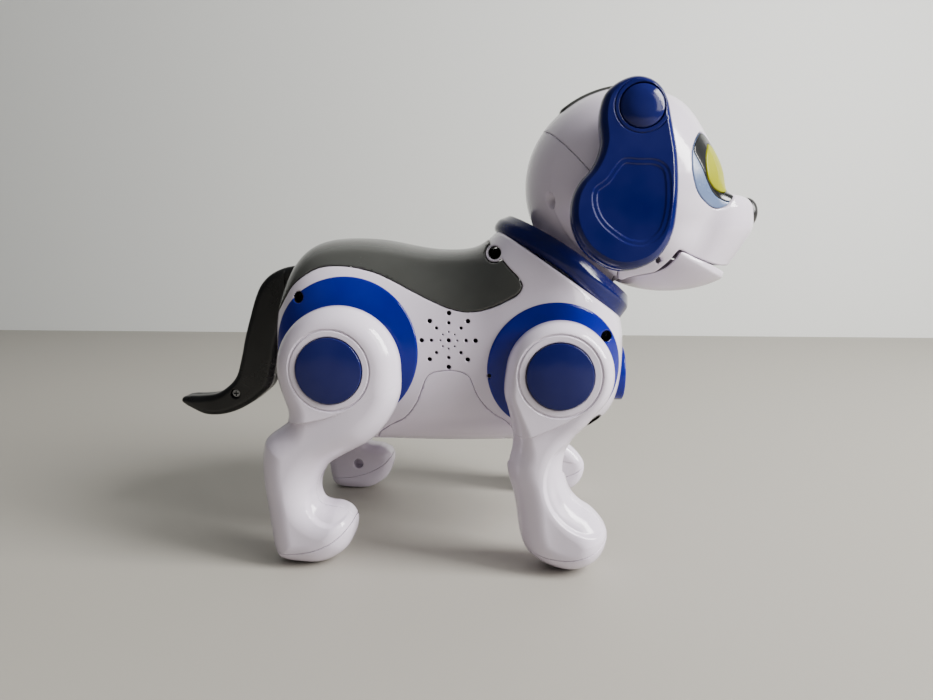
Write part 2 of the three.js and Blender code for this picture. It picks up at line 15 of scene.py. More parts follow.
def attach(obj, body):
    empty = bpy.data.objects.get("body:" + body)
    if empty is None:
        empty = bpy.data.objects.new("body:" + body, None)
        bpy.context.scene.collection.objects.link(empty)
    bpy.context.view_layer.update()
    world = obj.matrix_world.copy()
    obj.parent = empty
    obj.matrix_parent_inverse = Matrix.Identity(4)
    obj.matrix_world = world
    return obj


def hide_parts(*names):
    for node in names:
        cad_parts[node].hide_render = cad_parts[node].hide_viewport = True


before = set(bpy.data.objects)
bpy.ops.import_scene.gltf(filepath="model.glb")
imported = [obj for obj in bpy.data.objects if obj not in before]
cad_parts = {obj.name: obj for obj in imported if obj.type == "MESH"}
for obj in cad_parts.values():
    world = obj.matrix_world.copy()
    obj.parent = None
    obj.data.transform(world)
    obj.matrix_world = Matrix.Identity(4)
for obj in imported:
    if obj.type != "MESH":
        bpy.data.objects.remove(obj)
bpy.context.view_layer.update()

MM = 0.001

# ---- driving dimensions, mm ----
GAP = 0.3
FINE_GAP = 0.07
WALL = 2.2
UNDERSIDE = 60.0
HIP = {
    "rear": dict(x=-45.5, z=84.5, disc=(-43.9, 84.2, 25.4), cap=13.1, ring=(-44.2, 89.3, 31.2)),
    "front": dict(x=44.4, z=83.4, disc=(44.9, 82.8, 21.5), cap=12.9, ring=(43.9, 82.3, 28.2)),
}
# Rim round each hip: height over the body, how deep it sits and its nearest place to the middle.
RING_LIFT = 0.9
RING_SINK = 1.2
RING_NEAR = 18.0
HUB = dict(r=19.0, near=30.0, face=47.2, sink=3.0)
LEG_BACK = 47.8
LEG_INNER = 36.5
LEG_FACE = 60.0
# Leg's outer face: radius kept flat round the hip, that radius plus the width of the paw's rounding, drop of
# the rounding at the hip, and rounding of the inner edge.
LEG_ROUND = dict(flat=16.4, paw=28.4, drop=11.0, inner=6.0)
PAW_TOP = 74.0
PAW_BLEND = 30.0
# Cone cut from the inner half, so that it clears the hip.
HIP_CUT = dict(r=41.0, lean=0.6, stretch=1.17)
HIP_GROOVE = dict(r=16.1, half=0.3, deep=0.5)
CAP = dict(base=57.5, face=61.8, dome=0.9, play=0.25, recess=2.2)
PAW_SCREW = {"rear": (-58, 15), "front": (46, 21)}
PAW_WELL = dict(r=2.6, deep=5.0)
NECK = np.array([47.5, 0.0, 120.5])
NECK_TILT = math.radians(34.9)
NECK_AXIS = np.array([math.sin(NECK_TILT), 0.0, math.cos(NECK_TILT)])
COLLAR = dict(outer=35.7, inner=28.6, base=1.0, height=11.2, back=1.6, drop=3.4, edge=3.4, ridge=0.6)
# Share of the collar's drop that its front, its back and the front of its base take.
COLLAR_HANG = (0.45, 0.75, 0.95)
POST_R = 9.0
# Room inside the head round the neck post.
NECK_ROOM = dict(r=13.2, middle=21.0, half=13.8)
HEAD = np.array([74.5, 0.0, 160.0])
HEAD_R = 43.3
CROWN_R = 41.6
CHEEK = dict(centre=np.array([84.0, 0, 137.0]), radii=np.array([26.0, 34.0, 20.0]))
# Brow: a cone round the head's upright axis, by its slope outwards, slope upwards, distance and width.
BROW = (0.882, 0.471, 39.9)
BROW_WIDE = 0.88
MUZZLE_LONG = 36.0
MUZZLE_HALF = 28.0
NOSE = dict(centre=np.array([129.5, 0, 147.7]), radii=np.array([4.7, 8.2, 6.9]))
CROWN = dict(x0=45.5, x1=79.0, half=10.0, corner=4.0)
SEAM_X = 70.0
SEAM_STEP = 10.0
BROW_SEAM = 12.0
# Plane of the seam round the back of the head: its unit direction and distance.
NAPE = np.array([0.775, 0.0, 0.632, 145.8])
CHEEK_SCREW = dict(x=85.8, z=127.3, r=1.2)
NAPE_SCREW = dict(y=26.2, z=151.8, boss=5.0, boss_deep=11.0, r=3.3, deep=10.0, squeeze=1.6)
JAW_EGG = dict(centre=np.array([95.0, 0, 131.0]), radii=np.array([33.6, 28.5, 18.0]))
JAW_HOLLOW_X = 76.0
EAR_LEAN = math.radians(7)
EAR_NEAR = 44.0
EAR_FAR = 52.0
EAR_PIVOT = (73.5, 184.0)
EAR_STALK = dict(r=6.0, near=30.0)
EAR_ROLL = 6.0
EAR_STEP = dict(wide=0.6, deep=0.28, apart=3.0)
EAR_GROOVE = dict(r=10.3, half=0.2, deep=0.4)
EAR_CAP = dict(r=8.3, base=49.0, face=54.0, crown=54.3, dome=2.3, play=0.35, floor=5.4)
BUTTON = dict(z=74.8, r=12.9, face=78.2, base=66.0, dome=0.9, hole=55.0)
SWITCH = dict(x=27.3, half=(1.3, 5.0))
DOOR = (24.0, 21.0)
DOOR_CORNER = 3.0
DOOR_TAB = dict(x=16.0, r=3.4, half=0.4, z=45.2)
SPEAKER = (-0.3, 94.3)
# Grille: radius of its middle hole, then radius of each ring of eight holes and of the holes in it.
GRILLE_MIDDLE = 0.9
GRILLE = [(3.5, 0.38), (7.2, 0.7), (11.2, 0.95)]
BOSS = (18.2, 130.2)
BOSS_NOTCH = 4.1
WELLS = {"boss": (*BOSS, 2.8), "ring_rear": (-63.6, 111.8, 2.4), "ring_front": (64.8, 96, 2.4)}
# Black lining of a well, as painted shade: how far it reaches outside and inside the hole, and its lip, floor
# and base.
LINING = dict(outside=0.9, inside=0.15, lip=0.35, floor=5.2, base=6.2)
SCREW_DEPTH = 4.8
SCREW = dict(r=1.9, base=-1.5, face=0.5, crown=0.03, arm=0.32, reach=1.3, slot=-0.6)
PIN_HOLE = (16.6, 79.8, 0.9)
BELLY_SLOT = dict(x=62.2, z=57.2, straight=2.2, r=1.0, tilt=math.radians(34), near=12.0)
TAIL_HALF = 6.5
TAIL_CLEAR = 1.1
TAIL_EDGE = 3.2
TAIL_SCREW = (-107, 63)
TAIL_WELL = dict(r=2.3, deep=2.0)

# Cross sections of the body from tail to chest: x, top, bottom, half width.
STATIONS = [
    (-80.4, 91, 91, 0), (-78.6, 111, 69, 23), (-75, 120.5, 58, 32), (-68.5, 130.2, 50, 38.2),
    (-58, 135.7, 45.5, 42), (-45, 136.8, 44, 43.3), (-30, 135.6, 43.8, 42.5),
    (-14, 132.6, 43.5, 40.8), (2, 131.8, 43.5, 40), (13, 135, 43.8, 40.5), (22, 143, 44.2, 42),
    (34, 148, 44.6, 43), (46, 146, 46, 43), (57, 139, 49, 39.5), (65, 126, 53.5, 33.5),
    (71, 114, 60, 26), (76.2, 87, 87, 0),
]
SQUARENESS = 2.5

# Side outlines, x and z.
COVER_EDGE = [
    (-96, 103), (-80, 104), (-75.5, 106), (-70.8, 112), (-67.9, 116.2), (-62.5, 120.6), (-55.5, 124),
    (-45.5, 124.6), (-37.5, 123.4), (-30, 121.2), (-22.5, 117.7), (-15, 113.8), (-7.5, 110.2), (-1, 107.5),
    (5.3, 106), (11.5, 106.2), (17.7, 108), (24, 111), (28.3, 113.7), (29.8, 117), (28.3, 120),
    (24.7, 123.7), (20, 129), (15.5, 135), (14, 142), (13, 165), (-96, 165),
]
BELLY_EDGE = [
    (-36, 30), (-33, 50), (-26, 56.5), (-20, 60), (-14.5, 67), (-11, 75.5), (-9, 79.4), (-5, 81.2),
    (4.6, 81.2), (8.3, 78.9), (10.5, 73.7), (13.5, 68), (18.5, 62.7), (23.7, 59), (29, 50), (32, 30),
]
REAR_LEG = [
    (-64, 74), (-64.5, 67), (-66.5, 61.6), (-70, 58.8), (-73.6, 56.3), (-76.6, 53), (-78.1, 46),
    (-78.2, 36), (-77, 25.6), (-75.8, 15), (-74.5, 6.2), (-72.7, 2.2), (-69, 0.3), (-60.7, -0.6),
    (-53.4, 0), (-47, 3), (-42.2, 7.3), (-39.5, 13.5), (-39.3, 18.6), (-41.6, 22.6), (-46, 24.9),
    (-50.5, 25.4), (-53.4, 26.6), (-54.7, 30), (-54.5, 34.5), (-52.6, 39), (-49, 43.3), (-43.5, 46.9),
    (-38, 49.9), (-32, 53.5), (-26.6, 58.8), (-23, 64.4), (-20.8, 70), (-20.2, 76), (-24, 82), (-50, 88),
    (-60, 84),
]
FRONT_LEG = [
    (24, 76), (24.6, 68.9), (25.9, 60), (25.7, 53.8), (24, 46.5), (24.5, 39.7), (26.2, 33.9), (27.8, 26.4),
    (28.9, 17.9), (30.2, 12), (32.3, 7.6), (36.5, 3.6), (41.3, 1), (46.2, -0.3), (51, -0.5), (56.3, 0.8),
    (61.2, 3.6), (64.7, 8.3), (66.1, 13.3), (65.9, 17), (63.6, 21), (59.6, 25.2), (54.9, 28.3),
    (51.2, 32.4), (49, 38.1), (48.4, 44), (48.9, 49.5), (50.4, 54.6), (52.7, 58.3), (54.8, 61.6), (56, 66),
    (54, 76), (40, 84), (28, 82),
]
# Hollow at the ankle: middle, radius, width, depth, step at its ridge, and where it ends.
SCOOP = {
    "rear": dict(x=-48.5, z=28.5, r=10.0, wide=8.0, deep=6.0, step=1.5, end=-38),
    "front": dict(x=60.9, z=39.6, r=22.2, wide=8.0, deep=7.0, step=1.5, end=64),
}
# Crease below the hip: its line in side view, and where its step starts and has its full height.
CREASE = {
    "rear": [(-90, 63), (-66.8, 62.4), (-61.6, 62.5), (-54.5, 63.6), (-48.4, 65), (-38, 69), (-20, 78)],
    "front": [(10, 59.5), (25.7, 58.9), (32.8, 58.9), (38.8, 61.2), (46.7, 65), (51.5, 68.1), (70, 81)],
}
CREASE_FADE = {"rear": (-34, -64), "front": (58, 40)}
CREASE_STEP = 1.6
# Ridge of the hollow: width of its step, its top in radii, and how it fades. Above "none" radii all is whole.
RIDGE = dict(wide=1.5, top=0.75, fade=6.0, none=1.3, end_fade=20.0)
# How far from the middle plane the rounded outer face meets the paw's outline.
PAW_LOW = {"rear": 46.0, "front": 43.0}
SOLE_LINE = {
    "rear": [
        (-90, 6), (-74, 6), (-67, 6.4), (-60, 7.4), (-53, 9.6), (-47, 12.6), (-42, 16.6), (-38.5, 21),
        (-30, 40),
    ],
    "front": [
        (10, 14), (28, 12), (32, 10), (37, 8.6), (44, 8), (51, 8.6), (57, 10.4), (62, 12.8), (68, 17),
        (80, 30),
    ],
}
EAR_OUTLINE = [
    (71, 196.2), (64.7, 194), (60.2, 190), (58.4, 185), (58, 179.5), (58.5, 174.5), (58.6, 171),
    (57.4, 166.3), (54.9, 161.5), (51.1, 157), (48.7, 152.4), (47.7, 147), (48, 141.5), (49.8, 136),
    (53, 131), (58, 126.8), (63.6, 124.2), (69.2, 123.6), (74.8, 124.8), (79.8, 127.5), (84, 132.5),
    (86.5, 138.8), (87.6, 146.4), (88, 156.7), (87.4, 167), (86.3, 173.7), (85, 180.5), (83.6, 187),
    (81, 192), (76.8, 195.2),
]
EAR_PANEL = [
    (66.3, 164.6), (73, 164.6), (79.4, 164.1), (83.2, 161.2), (84.7, 154), (84, 143), (81.3, 136),
    (76.2, 132.4), (70, 132.4), (63.3, 136), (57.7, 141.5), (55.2, 148), (55.8, 153.6), (60.3, 157.3),
    (63.3, 161.6),
]
TAIL_OUTLINE = [
    (-70, 124.5), (-76, 124.3), (-82, 123), (-88, 120), (-92.5, 115.5), (-95.5, 109.5), (-98.5, 100.5),
    (-101.5, 90.5), (-104, 80), (-107, 71), (-111.5, 66), (-117.5, 62.5), (-125.5, 61.4), (-131, 61.2),
    (-134.3, 60.4), (-134.9, 58.6), (-133, 56.8), (-129.5, 54.8), (-123.5, 52.2), (-117, 51.9),
    (-109.5, 53.5), (-102, 57), (-95, 62), (-90, 67), (-87.5, 76), (-85, 88), (-80, 100), (-70, 104),
]
MUZZLE_SIDE = [
    (84, 156), (112, 156.6), (119, 156), (124.1, 155), (128.8, 153.6), (131.2, 150.8), (132, 146.5),
    (132, 142), (131.2, 139.2), (123.2, 126.4), (122.2, 124.9), (121, 124.4), (112, 121), (90, 118),
    (80, 135),
]
MOUTH = [
    (60, 100), (71.5, 118), (75, 120), (80, 121.2), (85.2, 122.3), (87.8, 124.3), (90.2, 126.8),
    (92.2, 129.6), (93.6, 131.3), (95, 131.3), (102, 128.4), (109, 126), (115.5, 124.8), (121, 124.4),
    (140, 123), (140, 100),
]
JAW_SIDE = [
    (72.2, 105), (72.2, 116.9), (75.2, 119.1), (78.5, 120.5), (85.4, 122), (88.8, 123.4), (91.6, 125.7),
    (93.6, 128.4), (95.2, 130.6), (97, 130.2), (102, 128), (109, 125.6), (115.5, 124.3), (119.5, 123.4),
    (122, 121), (124, 117), (125, 105),
]
JAW_RIM = [
    (60, 100), (60, 136), (92, 136), (94.8, 131), (96.5, 129.2), (104.2, 125.1), (113, 121), (122.6, 117.6),
    (129, 114.5), (131, 100),
]
# Eye outlines as azimuth towards the side and elevation, degrees from the middle of the head.
EYE_RIM = [
    (42, 27.3), (48.9, 23.9), (54.6, 19.4), (58.3, 14.4), (60.2, 9), (60.3, 3), (58.6, -2.5), (55.4, -7.5),
    (50.5, -11), (45.8, -13), (40.5, -14.7), (36, -15.2), (32, -13.6), (28.4, -10.6), (25, -7.4),
    (21.5, -3.5), (19.5, 1.5), (20, 8), (23.5, 16), (30, 23), (36, 26.8),
]
EYE_LENS = [
    (41.7, 26.8), (48.5, 23.4), (54, 19), (57.2, 14.9), (57.8, 12.6), (56.3, 9.6), (53, 4.4), (49.2, -1.2),
    (42.4, -6.8), (34.8, -10.1), (30, -10.9), (27.2, -9.2), (23.8, -6.3), (21, -2.6), (20.4, 3), (21.8, 10),
    (26, 17.5), (32, 23.4), (37, 26),
]
IRIS = [
    (39.5, 19.8), (44, 16.2), (47.7, 12.3), (49.3, 8.9), (50, 5), (49.5, 1.7), (48, -1), (45.4, -3),
    (42, -5), (38.6, -6.1), (34, -6.9), (30, -6.4), (27, -5.1), (24.7, -2.4), (24, 2.5), (26, 9), (30, 15),
    (35, 19),
]


# ---- distance helpers ----
def smooth_min(a, b, k):
    h = np.maximum(k - np.abs(a - b), 0) / k
    return np.minimum(a, b) - h * h * k / 4


def smooth_max(a, b, k):
    return -smooth_min(-a, -b, k)


def keep(d, *cuts, edge=0.45):
    """d inside every cut, with softened edges."""
    for cut in cuts:
        d = smooth_max(d, cut, edge)
    return d


def ramp(t):
    t = np.clip(t, 0, 1)
    return t * t * (3 - 2 * t)


def rod_y(p, x, z, r):
    return np.hypot(p[:, 0] - x, p[:, 2] - z) - r


def meet(a, b, r):
    """Inside both a and b, with the corner between them rounded to radius r."""
    a = a + r
    b = b + r
    return np.minimum(np.maximum(a, b), 0) + np.hypot(np.maximum(a, 0), np.maximum(b, 0)) - r


def drum(radial, low, high, along, r):
    """Cylinder from its radial distance and span along the axis, with edges of radius r."""
    return meet(radial, np.maximum(low - along, along - high), r)


def domed(e, low, high, along, inward, drop):
    """Slab inside the outline distance e, whose high face rolls over to the outline on a quarter ellipse."""
    a = np.maximum(e + inward, 0) / inward
    b = np.maximum(along - high + drop, 0) / drop
    q = np.hypot(a, b)
    d = (q - 1) * q / (np.hypot(a / inward, b / drop) + 1e-9)
    return np.maximum(np.where(q > 0, d, np.maximum(e, along - high)), low - along)


def ellipsoid(p, centre, radii):
    q = (p - centre) / radii
    k0 = np.linalg.norm(q, axis=1) + 1e-9
    k1 = np.linalg.norm(q / radii, axis=1) + 1e-9
    return k0 * (k0 - 1) / k1


def mirrored(p):
    """Points with their sideways distance made negative, so that a right-hand shape serves both sides."""
    return np.column_stack([p[:, 0], -np.abs(p[:, 1]), p[:, 2]])


SPAN_STEPS = 7


class Outline:
    """Signed distance to a closed smooth curve through points, kept on a fine plane grid."""

    def __init__(self, pairs, cell=0.4, reach=16, scale=1.0):
        ctrl = np.array(pairs, float) * scale
        loop = []
        n = len(ctrl)
        for i in range(n):
            p0, p1, p2, p3 = (ctrl[(i + k - 1) % n] for k in range(4))
            t1 = np.linalg.norm(p1 - p0) ** 0.5
            t2 = t1 + np.linalg.norm(p2 - p1) ** 0.5
            t3 = t2 + np.linalg.norm(p3 - p2) ** 0.5
            for t in np.linspace(t1, t2, SPAN_STEPS, endpoint=False):
                a1 = (t1 - t) / t1 * p0 + t / t1 * p1
                a2 = (t2 - t) / (t2 - t1) * p1 + (t - t1) / (t2 - t1) * p2
                a3 = (t3 - t) / (t3 - t2) * p2 + (t - t2) / (t3 - t2) * p3
                b1 = (t2 - t) / t2 * a1 + t / t2 * a2
                b2 = (t3 - t) / (t3 - t1) * a2 + (t - t1) / (t3 - t1) * a3
                loop.append((t2 - t) / (t2 - t1) * b1 + (t - t1) / (t2 - t1) * b2)
        self.loop = np.array(loop)
        self.cell = cell
        self.low = self.loop.min(0) - reach
        self.size = np.ceil((self.loop.max(0) + reach - self.low) / cell).astype(int) + 1
        gu, gv = np.meshgrid(*(self.low[k] + cell * np.arange(self.size[k]) for k in (0, 1)), indexing="ij")
        grid = np.column_stack([gu.ravel(), gv.ravel()])
        self.values = self.exact(grid).reshape(self.size)

    def exact(self, q):
        best = np.full(len(q), 1e9)
        odd = np.zeros(len(q), bool)
        ends = np.roll(self.loop, -1, axis=0)
        for a, b in zip(self.loop, ends):
            e = b - a
            w = q - a
            t = np.clip((w @ e) / (e @ e), 0, 1)
            away = w - t[:, None] * e
            best = np.minimum(best, (away * away).sum(1))
            if e[1] != 0:
                crosses = (a[1] <= q[:, 1]) != (b[1] <= q[:, 1])
                odd ^= crosses & (q[:, 0] < a[0] + (q[:, 1] - a[1]) / e[1] * e[0])
        return np.sqrt(best) * np.where(odd, -1, 1)

    def __call__(self, u, v):
        g = (np.column_stack([u, v]) - self.low) / self.cell
        c = np.clip(g, 0, self.size - 1.001)
        i, j = c.astype(int).T
        s, t = (c - c.astype(int)).T
        a = self.values[i, j] * (1 - s) + self.values[i + 1, j] * s
        b = self.values[i, j + 1] * (1 - s) + self.values[i + 1, j + 1] * s
        return a * (1 - t) + b * t + np.linalg.norm((g - c) * self.cell, axis=1)


# ---- meshing ----
def steps(low, high, h, fine=None):
    """Grid positions from low to high, h apart, and closer between fine's first two values."""
    spans = [(low, high, h)]
    if fine:
        a, b, s = fine
        spans = [(low, a, h), (a, b, s), (b, high, h)]
    out = []
    for a, b, s in spans:
        n = max(1, math.ceil((b - a) / s))
        out.extend(a + (b - a) * np.arange(n) / n)
    return np.array(out + [high])


BATCH = 400


def sampled(f, axes, block=8):
    """f over the grid: worked out fully near the surface, and by block centres elsewhere."""
    axes = [np.append(a, a[-1] + (a[-1] - a[-2]) * (1 + np.arange(-len(a) % block))) for a in axes]
    counts = [len(a) // block for a in axes]
    parts = [a.reshape(-1, block) for a in axes]
    mids = [(a[:, 0] + a[:, -1]) / 2 for a in parts]
    halves = [(a[:, -1] - a[:, 0]) / 2 + np.abs(a[:, 1] - a[:, 0]) for a in parts]
    centres = np.stack(np.meshgrid(*mids, indexing="ij"), -1).reshape(-1, 3)
    half = np.sqrt(sum(g**2 for g in np.meshgrid(*halves, indexing="ij"))).ravel()
    coarse = f(centres)
    values = np.empty([n * block for n in counts])
    view = values.reshape(counts[0], block, counts[1], block, counts[2], block)
    view[:] = coarse.reshape(counts)[:, None, :, None, :, None]
    near = np.flatnonzero(np.abs(coarse) < 1.3 * half + 1)
    where = np.array(np.unravel_index(near, counts))
    for s in range(0, len(near), BATCH):
        bx, by, bz = where[:, s : s + BATCH]
        pts = np.empty((len(bx), block, block, block, 3))
        pts[..., 0] = parts[0][bx][:, :, None, None]
        pts[..., 1] = parts[1][by][:, None, :, None]
        pts[..., 2] = parts[2][bz][:, None, None, :]
        view[bx, :, by, :, bz, :] = f(pts.reshape(-1, 3)).reshape(-1, block, block, block)
    return axes, values


def gradient(f, p, d):
    out = np.empty_like(p)
    for k in range(3):
        step = np.zeros(3)
        step[k] = d
        out[:, k] = (f(p + step) - f(p - step)) / (2 * d)
    return out


CORNERS = [(a, b, c) for a in (0, 1) for b in (0, 1) for c in (0, 1)]
EDGES = [(a, b) for a in CORNERS for b in CORNERS if sum(abs(a[k] - b[k]) for k in range(3)) == 1 and a < b]


def surface(f, axes):
    """Vertices, quads and normals of f's zero surface."""
    axes, v = sampled(f, axes)
    inside = v < 0
    count = sum(
        inside[a : a + v.shape[0] - 1, b : b + v.shape[1] - 1, c : c + v.shape[2] - 1].astype(np.uint8)
        for a, b, c in CORNERS
    )
    cells = (count > 0) & (count < 8)
    index = np.full(cells.shape, -1, np.int64)
    i, j, k = np.nonzero(cells)
    index[i, j, k] = np.arange(len(i))
    total = np.zeros((len(i), 3))
    hits = np.zeros(len(i))
    for a, b in EDGES:
        va = v[i + a[0], j + a[1], k + a[2]]
        vb = v[i + b[0], j + b[1], k + b[2]]
        cross = (va < 0) != (vb < 0)
        t = np.where(cross, va / np.where(cross, va - vb, 1), 0)
        pa = np.column_stack([axes[0][i + a[0]], axes[1][j + a[1]], axes[2][k + a[2]]])
        pb = np.column_stack([axes[0][i + b[0]], axes[1][j + b[1]], axes[2][k + b[2]]])
        total += np.where(cross[:, None], pa + t[:, None] * (pb - pa), 0)
        hits += cross
    p = total / hits[:, None]
    quads = []
    for axis in range(3):
        u, w = [(1, 2), (2, 0), (0, 1)][axis]
        lo = [slice(None)] * 3
        hi = [slice(None)] * 3
        lo[axis], hi[axis] = slice(0, -1), slice(1, None)
        change = inside[tuple(lo)] != inside[tuple(hi)]
        e = np.array(np.nonzero(change))
        e = e[:, (e[u] > 0) & (e[w] > 0) & (e[u] < cells.shape[u]) & (e[w] < cells.shape[w])]
        out = inside[tuple(e)]
        ring = []
        for du, dw in [(-1, -1), (0, -1), (0, 0), (-1, 0)]:
            c = e.copy()
            c[u] += du
            c[w] += dw
            ring.append(index[tuple(c)])
        quad = np.column_stack(ring)
        quads.append(np.where(out[:, None], quad, quad[:, ::-1]))
    quads = np.concatenate(quads)
    step = min(a[1] - a[0] for a in axes)
    # settle the vertices onto the surface
    for _ in range(3):
        g = gradient(f, p, 0.12 * step)
        size = np.maximum((g * g).sum(1), 0.2)
        move = -(f(p) / size)[:, None] * g
        far = np.maximum(np.linalg.norm(move, axis=1) / (0.5 * step), 1)
        p = p + move / far[:, None]
    g = gradient(f, p, 0.35 * step)
    return p, quads, g / (np.linalg.norm(g, axis=1)[:, None] + 1e-9)


def linked(name, data):
    """A new object that shows data in the scene."""
    made = bpy.data.objects.new(name, data)
    bpy.context.scene.collection.objects.link(made)
    return made


def to_object(name, verts, quads, normals):
    mesh = bpy.data.meshes.new(name)
    mesh.vertices.add(len(verts))
    mesh.vertices.foreach_set("co", (verts * MM).ravel())
    mesh.loops.add(quads.size)
    mesh.loops.foreach_set("vertex_index", quads.ravel())
    mesh.polygons.add(len(quads))
    mesh.polygons.foreach_set("loop_start", np.arange(len(quads)) * 4)
    mesh.update(calc_edges=True)
    mesh.shade_smooth()
    mesh.normals_split_custom_set_from_vertices(normals)
    return linked(name, mesh)


def finish_piece(made, body, material, slot, nodes):
    made.data.materials.append(material)
    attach(made, body)
    if nodes:
        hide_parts(*nodes)


def piece(name, f, low, high, h, body, look, nodes=(), place=None, fine=(None, None, None)):
    """One piece from its distance f, searched for inside the box low to high on a grid of step h.

    look is (material, slot), of which the slot is not used, and place moves the piece from its own frame.
    """
    axes = [steps(low[k], high[k], h, fine[k]) for k in range(3)]
    verts, quads, normals = surface(f, axes)
    if place is not None:
        m = np.array(place)
        verts = verts @ m[:3, :3].T + m[:3, 3]
        normals = normals @ m[:3, :3].T
    made = to_object(name, verts, quads, normals)
    finish_piece(made, body, *look, nodes)
    return verts, quads, normals


def pair(name, f, low, high, h, bodies, look, nodes=("{}",), **more):
    """A right-hand piece and its mirror image."""
    right = name.format("right")
    verts, quads, normals = piece(
        right, f, low, high, h, bodies[0], look, [n.format("right") for n in nodes], **more
    )
    flip = np.array([1, -1, 1])
    left = to_object(name.format("left"), verts * flip, quads[:, ::-1], normals * flip)
    finish_piece(left, bodies[1], *look, [n.format("left") for n in nodes])


# ---- body shape ----
def spline(xs, ys, at):
    """Natural cubic spline through (xs, ys)."""
    n = len(xs)
    h = np.diff(xs)
    a = np.eye(n)
    b = np.zeros(n)
    for i in range(1, n - 1):
        a[i, i - 1 : i + 2] = h[i - 1], 2 * (h[i - 1] + h[i]), h[i]
        b[i] = 6 * ((ys[i + 1] - ys[i]) / h[i] - (ys[i] - ys[i - 1]) / h[i - 1])
    m = np.linalg.solve(a, b)
    i = np.clip(np.searchsorted(xs, at) - 1, 0, n - 2)
    s, e = at - xs[i], xs[i + 1] - at
    return (
        (m[i] * e**3 + m[i + 1] * s**3) / (6 * h[i])
        + (ys[i] / h[i] - m[i] * h[i] / 6) * e
        + (ys[i + 1] / h[i] - m[i + 1] * h[i] / 6) * s
    )


stations = np.array(STATIONS, float)
BODY_X0, BODY_X1 = stations[0, 0], stations[-1, 0]


def warp(x):
    """Angle along the body, which opens and closes the section roundly at both ends."""
    return np.arcsin(np.clip(2 * (x - BODY_X0) / (BODY_X1 - BODY_X0) - 1, -1, 1))


WARPED = np.linspace(-math.pi / 2, math.pi / 2, 1201)
LOFT = [spline(warp(stations[:, 0]), stations[:, c], WARPED) for c in (1, 2, 3)]
LOFT[2] = np.maximum(LOFT[2], 0.05)
LOFT[0] = np.maximum(LOFT[0], LOFT[1] + 0.1)
SLOPE = [np.gradient(v, WARPED) / (np.maximum(np.cos(WARPED), 0.05) * (BODY_X1 - BODY_X0) / 2) for v in LOFT]


def loft(p):
    """Distance to the body's rounded loft."""
    x = np.clip(p[:, 0], BODY_X0, BODY_X1)
    t = warp(x)
    top, bottom, half, dt, db, dh = (np.interp(t, WARPED, v) for v in LOFT + SLOPE)
    middle = (top + bottom) / 2
    tall = (top - bottom) / 2
    y = np.abs(p[:, 1])
    z = p[:, 2] - middle
    r = np.hypot(y, z) + 1e-6
    q = ((y / half) ** SQUARENESS + (np.abs(z) / tall) ** SQUARENESS) ** (1 / SQUARENESS) + 1e-9
    radial = r * (1 - 1 / q)
    side = (y / r) ** 2
    slope = side * dh + (1 - side) * np.where(z > 0, dt, -db)
    d = radial / np.sqrt(1 + slope**2)
    past = np.maximum(BODY_X0 - p[:, 0], p[:, 0] - BODY_X1)
    return np.where(past > 0, np.hypot(np.maximum(d, 0), np.maximum(past, 0)), d)


def above_neck(p):
    return (p - NECK) @ NECK_AXIS


def neck_radius(p):
    away = p - NECK
    return np.linalg.norm(away - (away @ NECK_AXIS)[:, None] * NECK_AXIS, axis=1)


def body_form(p):
    return smooth_max(loft(p), above_neck(p), 1.6)


def shell(d):
    return np.maximum(d, -d - WALL)


cover_edge = Outline(COVER_EDGE)
belly_edge = Outline(BELLY_EDGE)


def cover_region(p):
    """Side outline of the grey back cover, notched round the screw boss at its front corners."""
    return np.maximum(cover_edge(p[:, 0], p[:, 2]), -rod_y(p, *BOSS, BOSS_NOTCH))


def belly_slot(p):
    """Round-ended slot, cut from either side."""
    x, z = p[:, 0] - BELLY_SLOT["x"], p[:, 2] - BELLY_SLOT["z"]
    c, s = math.cos(BELLY_SLOT["tilt"]), math.sin(BELLY_SLOT["tilt"])
    along = np.maximum(np.abs(c * x + s * z) - BELLY_SLOT["straight"], 0)
    return np.maximum(np.hypot(along, c * z - s * x) - BELLY_SLOT["r"], BELLY_SLOT["near"] - np.abs(p[:, 1]))


def holes(p):
    d = np.minimum(rod_y(p, *PIN_HOLE), belly_slot(p))
    for well in WELLS.values():
        d = np.minimum(d, rod_y(p, *well))
    return d


def grille_holes(p):
    x, z = p[:, 0] - SPEAKER[0], p[:, 2] - SPEAKER[1]
    r = np.hypot(x, z)
    d = r - GRILLE_MIDDLE
    turn = np.arctan2(z, x)
    turn = turn - np.round(turn / (math.pi / 4)) * (math.pi / 4)
    for ring, hole in GRILLE:
        d = np.minimum(d, np.hypot(r * np.cos(turn) - ring, r * np.sin(turn)) - hole)
    return d


def main_shell(p, grille):
    x, y, z = p.T
    d = shell(body_form(p))
    d = keep(d, -(cover_region(p) - GAP / 2), edge=0.5)
    d = keep(d, -(belly_edge(x, z) - FINE_GAP / 2), edge=0.25)
    d = smooth_max(d, -holes(p), 0.4)
    button = np.hypot(y, z - BUTTON["z"]) - BUTTON["r"] - GAP
    d = smooth_max(d, -np.maximum(button, BUTTON["hole"] - x), 0.5)
    d = np.maximum(d, -(neck_radius(p) - POST_R - GAP))
    if grille:
        d = smooth_max(d, -grille_holes(p), 0.25)
    return d


def body_right(p):
    return keep(main_shell(p, True), p[:, 1] + GAP / 2, edge=0.3)


def body_left(p):
    return keep(main_shell(p, False), GAP / 2 - p[:, 1], edge=0.3)


def back_cover(p):
    d = shell(body_form(p) - 0.15)
    return keep(d, cover_region(p) + GAP / 2, edge=0.7)


def door_region(p):
    return meet(np.abs(p[:, 0]) - DOOR[0], np.abs(p[:, 1]) - DOOR[1], DOOR_CORNER)


